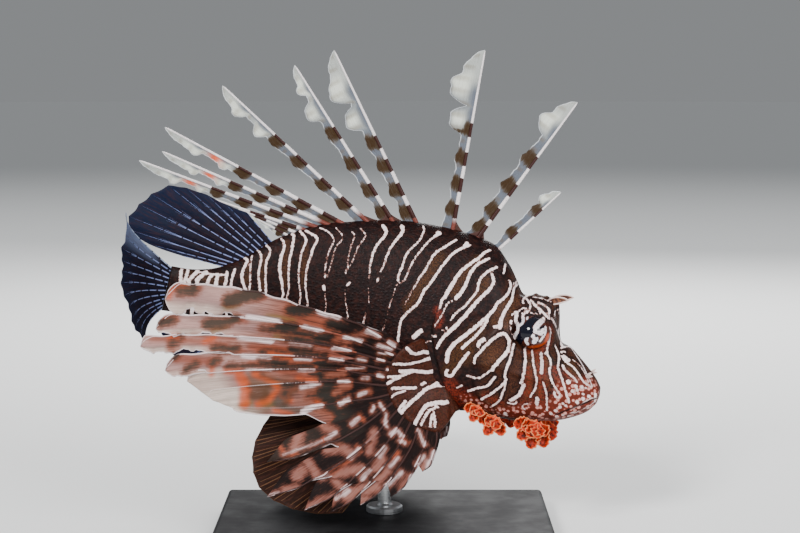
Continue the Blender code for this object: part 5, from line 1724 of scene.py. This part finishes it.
def lowWeb(line, other):
    # low web from one spine to the next
    edge = np.linspace(0, 1, 12)
    top = 0.1 * (1 - 0.55 * np.sin(np.pi * edge))
    level = np.linspace(0, 1, 8)[:, None] * top[None]
    low = line[0] + (line[-1] - line[0]) * level[..., None]
    far = other[0] + (other[-1] - other[0]) * level[..., None]
    web = low * (1 - edge)[None, :, None] + far * edge[None, :, None]
    plain = np.full(web.shape[:2], 9.0)
    return web, {"tint": np.full(web.shape, dorsal["web"]), "bar": plain, "lie": web, "margin": plain}, edge


def spineRod(k, line, t):
    base, length = dorsal["spines"][k][:2]
    tint = towards(np.full((len(t), 3), dorsal["rod"]), dorsal["rodFoot"], ramp(t, 0.13, 0.07))
    radii = dorsal["rodRoot"] + (dorsal["rodTip"] - dorsal["rodRoot"]) * t ** 0.9
    radii *= min(1, 0.55 + length / 200)
    radii[-3:] = radii[-4] * np.array((0.8, 0.5, 0.15))
    return swim(line, base), radii, {"bar": blotch(t, length, *dorsal["bands"][k]), "tint": tint}


def dorsalSpines(matter, rodMatter):
    t, c = np.meshgrid(np.linspace(0, 1, dorsal["rows"]), np.linspace(0, 1, dorsal["columns"]), indexing="ij")
    for name, first, last in dorsal["groups"]:
        grids, at, painted, swept = [], [], [], []
        for k in range(first, last):
            base = dorsal["spines"][k][0]
            line, back = spineLine(dorsal["spines"][k], t[:, 0])
            grid, values = flag(k, line, back, t, c)
            grids.append(grid)
            at.append(base)
            painted.append(values)
            swept.append(spineRod(k, line, t[:, 0]))
            if k + 1 < last:
                other, _ = spineLine(dorsal["spines"][k + 1], t[:, 0])
                web, values, edge = lowWeb(line, other)
                grids.append(web)
                at.append(base + (dorsal["spines"][k + 1][0] - base) * edge[None])
                painted.append(values)
        joined = {label: [values[label] for values in painted] for label in painted[0]}
        sheet = thinSheet(f"spineFlags_{name}", grids, at, matter, joined, 0.34)
        setOut(sheet, "spines", f"dorsal_spines_{name}")
        setOut(rods(f"spineRods_{name}", swept, rodMatter, 10), "spines")


flagMatter = finMaterial(
    "spineFlags", (0.032, 0.016, 0.0055), (0.075, 0.055, 0.030), (0.60, 0.62, 0.64), 0.2, 0.5, 1.4
)
spineMatter = rayMaterial("spineRods", (0.030, 0.0075, 0.0055))
dorsalSpines(flagMatter, spineMatter)
print("dorsal spines are on")


# soft fins: a dark sheet over pale branching rays with dark dots

softFins = {
    "rows": 46,
    "between": 7,  # columns of the sheet from one ray to the next
    "sink": 3,
    "rodRoot": 0.46,
    "dash": 6.4,  # mm from one dark dot of a ray to the next
    # base s, height of the base, length, angle above straight back
    "soft_dorsal_fin": (
        (207, 38, 26, 37), (209.5, 36, 37, 32), (212, 34, 48, 31), (214, 32, 59, 28.5), (216, 30, 67, 26),
        (218, 28, 71, 20), (220, 26, 73, 15), (222, 24, 74, 10), (224.5, 22, 69, 6), (227, 20.5, 53, 3),
        (230, 19, 28, 3),
    ),
    "anal_fin": (
        (196, -24, 16, -66), (200, -23, 24, -62), (204, -22, 31, -58), (208, -20.5, 38, -53),
        (213, -18.5, 40, -48), (218, -17, 39, -43), (223, -15, 37, -38), (228, -14, 34, -33),
        (233, -13, 31, -28), (237, -12, 28, -23),
    ),
    # height of the root, length, angle above straight back, swing to the right side
    "caudal_fin": (
        (12.5, 62, 29, 0), (10.5, 45, 23, 0), (8.5, 43, 17, 0), (6, 43.5, 11, 2), (3.5, 44.5, 6, 4),
        (1, 45, 1, 7), (-1.5, 45, -5, 11), (-4, 44, -11, 15), (-6.5, 43, -17, 20), (-8.5, 41, -23, 25),
        (-10.5, 40, -29, 30), (-12.5, 42, -35, 35),
    ),
    # length, angle above straight back, out from the side
    "pelvic": (
        (83, -69, 26.5), (101, -55, 26.5), (108, -43, 25), (103, -34, 24), (89, -25, 23), (73, -16, 22),
    ),
    "pelvicRoot": (100, 8, -33),
    "branchAt": 0.42,
}


def throughLines(lines, k, c):
    # a smooth way from ray k to the next, at share c
    before, one, two, after = (lines[min(max(k + step, 0), len(lines) - 1)] for step in (-1, 0, 1, 2))
    return 0.5 * (
        2 * one + (two - before) * c + (2 * before - 5 * one + 4 * two - after) * c ** 2
        + (3 * one - before - 3 * two + after) * c ** 3
    )


def fanGrid(lines, lengths, stations, look):
    # lines through the rays and between them: their points, stations, lies and margins
    rows, parts = softFins["rows"], softFins["between"]
    t = np.linspace(0, 1, rows)
    columns, at, lies, margins = [], [], [], []
    for k in range(len(lines) - 1):
        steps = parts if k == len(lines) - 2 else parts - 1
        for c in np.arange(steps) / (parts - 1):
            line = throughLines(lines, k, c)
            # the rim draws in a little between two rays
            dip = look["notch"] * np.sin(np.pi * c) * 0.5
            columns.append(line[0] + (line - line[0]) * (1 - dip * ramp(t, 0.6, 1))[:, None])
            at.append(np.broadcast_to(stations[k] * (1 - c) + stations[k + 1] * c, rows))
            length = lengths[k] * (1 - c) + lengths[k + 1] * c
            lies.append(np.stack((t * length, np.full(rows, (k + c) * 5.0), np.zeros(rows)), -1))
            margins.append((1 - t) * length + look["margin"])
    return (np.stack(many, 1) for many in (columns, at, lies, margins))


def fanRods(grid, station, lengths, look):
    # each ray, and its two branches that leave it on the way out
    rows, last, dash = softFins["rows"], grid.shape[1] - 1, softFins["dash"]
    t, row = np.linspace(0, 1, rows), np.arange(rows)
    swept = []
    for k, length in enumerate(lengths):
        dots = np.abs((t * length + 1.7 * k) % dash - dash / 2) - dash * look["dotShare"]
        pale = towards(np.full((rows, 3), look["ray"]), look["rayTip"], ramp(t, 0.5, 1))
        if k == 0 and "firstRay" in look:
            pale = np.full((rows, 3), look["firstRay"])
        for offset in (0, -1.6, 1.6):
            column = k * (softFins["between"] - 1) + offset * ramp(t, softFins["branchAt"], 1.0)
            place = np.clip(column, 0, last)
            left = np.clip(np.floor(place).astype(int), 0, last - 1)
            part = place - left
            line = grid[row, left] * (1 - part)[:, None] + grid[row, left + 1] * part[:, None]
            spot = station[row, left] * (1 - part) + station[row, left + 1] * part
            thick = softFins["rodRoot"] * look["stout"] * (1 - t) + look["tipGirth"] * t
            thick *= 1 if offset == 0 else 0.7
            thick[-1] *= 0.4
            first = 0 if offset == 0 else int(softFins["branchAt"] * rows)
            values = {"bar": dots[first:], "tint": pale[first:]}
            swept.append((swim(line, spot)[first:], thick[first:], values))
    return swept


def fanSheet(name, lines, stations, look, replaced, matter, rodMatter):
    # one waved sheet through all the rays, with a fold along each ray
    lengths = [np.linalg.norm(np.diff(line, axis=0), axis=1).sum() for line in lines]
    grid, station, lie, margin = fanGrid(lines, lengths, stations, look)
    wide = np.arange(grid.shape[1]) / (softFins["between"] - 1)
    t, wide = np.meshgrid(np.linspace(0, 1, len(grid)), wide, indexing="ij")
    normal = unit(np.cross(unit(np.gradient(grid, axis=0)), unit(np.gradient(grid, axis=1))))
    wave = look["wave"] * np.sin(wide * 1.9 + t * 4) * ramp(t, 0.3, 1)
    pleat = 0.3 * np.cos(2 * np.pi * wide) * ramp(t, 0.05, 0.4)
    grid = grid + normal * (wave + pleat)[..., None]
    tint = towards(look["inner"], look["outer"], ramp(t, 0.35, 1.0))
    if "top" in look:
        # the uppermost rays are paler
        tint = towards(tint, look["top"], ramp(wide, look["topReach"], 0) * ramp(t, 0.1, 0.4))
    values = {"tint": [tint], "bar": [np.full(t.shape, 9.0)], "lie": [lie], "margin": [margin]}
    sheet = thinSheet(f"{name}_sheet", [grid], [station], matter, values, 0.3)
    setOut(sheet, "dark_fin", replaced)
    setOut(rods(f"{name}_rays", fanRods(grid, station, lengths, look), rodMatter, 6), "dark_fin")


def medianLines(table):
    lines, stations = [], []
    for base, height, length, rise in table:
        rise = math.radians(rise)
        run = np.array((math.cos(rise), 0, math.sin(rise)))
        root = np.array((base, 0, height)) - run * softFins["sink"]
        reach = (length + softFins["sink"]) * np.linspace(0, 1, softFins["rows"])
        lines.append(root + run * reach[:, None])
        stations.append(float(base))
    return lines, stations


softLooks = {
    "night": {
        "inner": (0.0030, 0.0035, 0.0105), "outer": (0.0042, 0.0080, 0.0250), "ray": (0.19, 0.23, 0.44),
        "rayTip": (0.10, 0.14, 0.31), "wave": 0.8, "notch": 0.03, "stout": 1.0, "dotShare": 0.11,
        "margin": 0.6, "tipGirth": 0.15,
    },
    "tail": {"top": (0.12, 0.15, 0.25), "topReach": 2.2, "firstRay": (0.38, 0.45, 0.60)},
    "pelvic": {
        "inner": (0.008, 0.003, 0.0022), "outer": (0.016, 0.006, 0.0036), "ray": (0.060, 0.024, 0.011),
        "rayTip": (0.135, 0.060, 0.025), "wave": 1.2, "notch": 0.015, "stout": 1.2, "dotShare": 0,
        "margin": 0.3, "tipGirth": 0.3,
    },
    # colours of bar, halo and edge, strength of the streaks, roughness
    "softMembrane": ((0.004, 0.003, 0.006), (0.005, 0.004, 0.008), (0.020, 0.021, 0.042), 0.4, 0.6),
    "pelvicMembrane": ((0.004, 0.002, 0.002), (0.016, 0.006, 0.003), (0.075, 0.030, 0.012), 0.9, 0.6),
}


def pelvicLines(sign):
    # lines at the rays and halfway between them
    table = np.array([(k, *ray) for k, ray in enumerate(softFins["pelvic"])], float)
    s, l, z = softFins["pelvicRoot"]
    lines = []
    for k in np.arange(2 * len(table) - 1) / 2:
        length, rise, out = (float(alongTable(table, k, column)) for column in (1, 2, 3))
        root = (s + 2.5 * k, sign * l, z + 0.9 * k)
        outs = (sign * (out - 4), sign * (out + 4))
        lines.append(curvedRay(root, length, (rise - 6, rise + 6), outs, softFins["rows"]))
    return lines, [float(s)] * len(lines)


def softFinsOn():
    matter, brown = (finMaterial(name, *softLooks[name]) for name in ("softMembrane", "pelvicMembrane"))
    rodMatter = rayMaterial("softRays", (0.008, 0.005, 0.008))
    for name, node in (("softDorsal", "soft_dorsal_fin"), ("anal", "anal_fin")):
        fanSheet(name, *medianLines(softFins[node]), softLooks["night"], node, matter, rodMatter)
    lines = []
    for height, length, rise, swing in softFins["caudal_fin"]:
        root = (262.3, 0, height)
        lines.append(curvedRay(root, length, (rise, rise), (-swing, -swing), softFins["rows"]))
    tail = {**softLooks["night"], **softLooks["tail"]}
    fanSheet("caudal", lines, [line[:, 0] for line in lines], tail, "caudal_fin", matter, rodMatter)
    for side, sign in (("right", -1), ("left", 1)):
        node = f"pelvic_fin_{side}"
        fanSheet(f"pelvic_{side}", *pelvicLines(sign), softLooks["pelvic"], node, brown, rodMatter)


softFinsOn()
print("soft fins are on")


# skin fringes of the head: ruffled fans with curling fingers

fringes = {
    # root s, l, z, then length, angle above straight ahead, out from the side, petals, their
    # spread, and their half breadth
    "brow_tentacle": (40, 9.5, 44, 13, 22, 12, 1, 0, 3.1),
    "nose_tentacle": (8, 9, 7, 5, 40, 35, 2, 60, 0.9),
    "cheek_fringe_rear": (61.5, 19, -24, 11, -122, 22, 4, 95, 3.2),
    "cheek_fringe_front": (51, 16.5, -27.5, 13, -110, 16, 5, 110, 3.6),
    "chin_fringe": (27.5, 13, -24.5, 17, -104, 14, 8, 125, 4.2),
    "rows": 26,
}


fringeLook = {
    "deep": (0.030, 0.0022, 0.0012),
    "red": (0.36, 0.018, 0.0015),
    "bright": (0.52, 0.032, 0.003),
    "tip": (0.64, 0.21, 0.08),
    "vein": (0.10, 0.018, 0.012),
    "tentacle": (0.045, 0.014, 0.008),
    "tentacleBand": (0.16, 0.06, 0.03),
    "tentacleEdge": (0.66, 0.50, 0.46),
}


def fringeMaterial():
    look = fringeLook
    made, shade, shader = newMaterial("skinFringe", 0.5, 0.15)
    flesh, rim = shade.attribute("flesh", "Vector"), shade.attribute("margin")
    patches = shade.between(shade.noise(flesh, 0.7, 4, 0.6), 0.35, 0.65)
    colour = shade.mix(patches, look["deep"], look["red"])
    colour = shade.mix(shade.between(rim, 1.6, 0.5), colour, look["bright"])
    colour = shade.mix(shade.between(rim, 0.4, 0.12), colour, look["tip"])
    veins = shade.between(shade.noise(flesh, 2.4, 2), 0.6, 0.7)
    colour = shade.mix(shade.times(veins, 0.5), colour, look["vein"])
    rough = shade.between(shade.noise(flesh, 1.2, 2), 0.3, 0.7, 0.38, 0.55)
    shade.finish(shader, colour, rough, shade.noise(flesh, 1.8, 4), 0.5, 0.0004)
    return made


def frill(name, sign, matter):
    s, l, z, length, rise, out, petals, spread, broad = fringes[name]
    rows = fringes["rows"]
    t = np.linspace(0, 1, rows)
    grids, values = [], {"margin": [], "lie": []}
    for k in range(petals):
        # every other petal is shorter and stands further out, so that they overlap as in a rosette
        share = (k + 0.5) / petals
        turn = rise + spread * (share - 0.5)
        inner = petals > 3 and k % 2 == 1
        reach = length * (1 - 0.18 * abs(2 * share - 1)) * (0.68 if inner else 1)
        twist = (14 if inner else -4) * (petals > 1)
        outs = (sign * (out + twist), sign * (out + twist + 14 * math.cos(2.3 * k + 1) * (petals > 1)))
        root = np.array((s, sign * l, z), float)
        lift = math.radians(180 - turn)
        root = root + np.array((math.cos(lift), 0, math.sin(lift))) * 1.2 * (1 if petals > 3 else 0.4)
        line = curvedRay(root, reach, (180 - turn - 10, 180 - turn + 12), outs, rows)
        run = runAlong(line)
        across = unit(np.cross(run, np.array((0, 1.0, 0))))
        normal = unit(np.cross(run, across))
        c = np.linspace(-1, 1, 9)
        if petals > 3:
            end = np.clip((1 - t) / 0.4, 0, 1)
            leaf = broad * (0.2 + 0.8 * ramp(t, 0.1, 0.6)) * np.sqrt(end * (2 - end))
            leaf = leaf * (1 + 0.12 * np.sin(t * reach * 2.6 + k))
            curl = 0.55 * leaf[:, None] * np.abs(c) ** 2 * ramp(t, 0.1, 0.5)[:, None]
            ruffle = 0.25 * np.sin(7 * c + k) * ramp(t, 0.4, 1)[:, None]
            curl = ruffle + 0.3 * np.sin(t * reach * 1.6 + k)[:, None] - sign * curl
        else:
            leaf = broad * np.sqrt(t + 0.02) * (1 - t) ** 0.8 * 1.7
            curl = 0.3 * leaf[:, None] * c ** 2
        grid = line[:, None] + across[:, None] * (leaf[:, None] * c)[..., None]
        grid = grid + normal[:, None] * curl[..., None]
        grids.append(grid)
        values["margin"].append(np.minimum(leaf[:, None] * (1 - np.abs(c)), (1 - t)[:, None] * reach))
        values["lie"].append(grid)
    side = "right" if sign < 0 else "left"
    piece = thinSheet(f"{name}_frill_{side}", grids, [s] * petals, matter, values, 0.5)
    setOut(piece, "fringe" if petals > 3 else "skin", f"{name}_{side}")


def tentacleMaterial():
    look, roughness = fringeLook, 0.45
    made, shade, shader = newMaterial("tentacle", roughness, 0.2)
    flesh = shade.attribute("flesh", "Vector")
    band = shade.between(shade.noise(flesh, 0.55, 2), 0.40, 0.60)
    colour = shade.mix(band, look["tentacle"], look["tentacleBand"])
    colour = shade.mix(shade.between(shade.attribute("margin"), 0.75, 0.4), colour, look["tentacleEdge"])
    shade.finish(shader, colour, roughness, shade.noise(flesh, 1.8), 0.4, 0.0003)
    return made


fringeMatter, tentacleMatter = fringeMaterial(), tentacleMaterial()
for name in ("brow_tentacle", "nose_tentacle", "cheek_fringe_rear", "cheek_fringe_front", "chin_fringe"):
    for sign in (-1, 1):
        frill(name, sign, tentacleMatter if name.endswith("tentacle") else fringeMatter)
print("fringes are on")


# the stand keeps its solids: black lacquered wood and a brushed steel rod

standLook = {
    "lacquer": ((0.006, 0.006, 0.007), (0.016, 0.015, 0.016)),
    "steel": ((0.46, 0.47, 0.48), (0.64, 0.65, 0.66)),
}


def standMaterials():
    lacquer, shade, shader = newMaterial("blackLacquer", 0.55, 0.06)
    place = shade.place()
    grain = shade.noise(shade.squeezed(place, (6, 60, 60)), 12, 5, 0.6)
    rough = shade.between(shade.noise(place, 45, 4), 0.3, 0.7, 0.5, 0.65)
    shade.finish(shader, shade.mix(grain, *standLook["lacquer"]), rough, grain, 0.12, 0.0002)
    steel, shade, shader = newMaterial("brushedSteel", 0.3, metallic=1.0)
    brushed = shade.noise(shade.squeezed(shade.place(), (60, 60, 3200)), 1, 3, 0.6)
    rough = shade.between(brushed, 0.2, 0.8, 0.24, 0.42)
    shade.finish(shader, shade.mix(brushed, *standLook["steel"]), rough, brushed, 0.2, 0.0001)
    for node, matter in (("stand_base", lacquer), ("stand_rod", steel)):
        for held in nodes[node].material_slots:
            held.material = matter


standMaterials()
print("stand is finished")
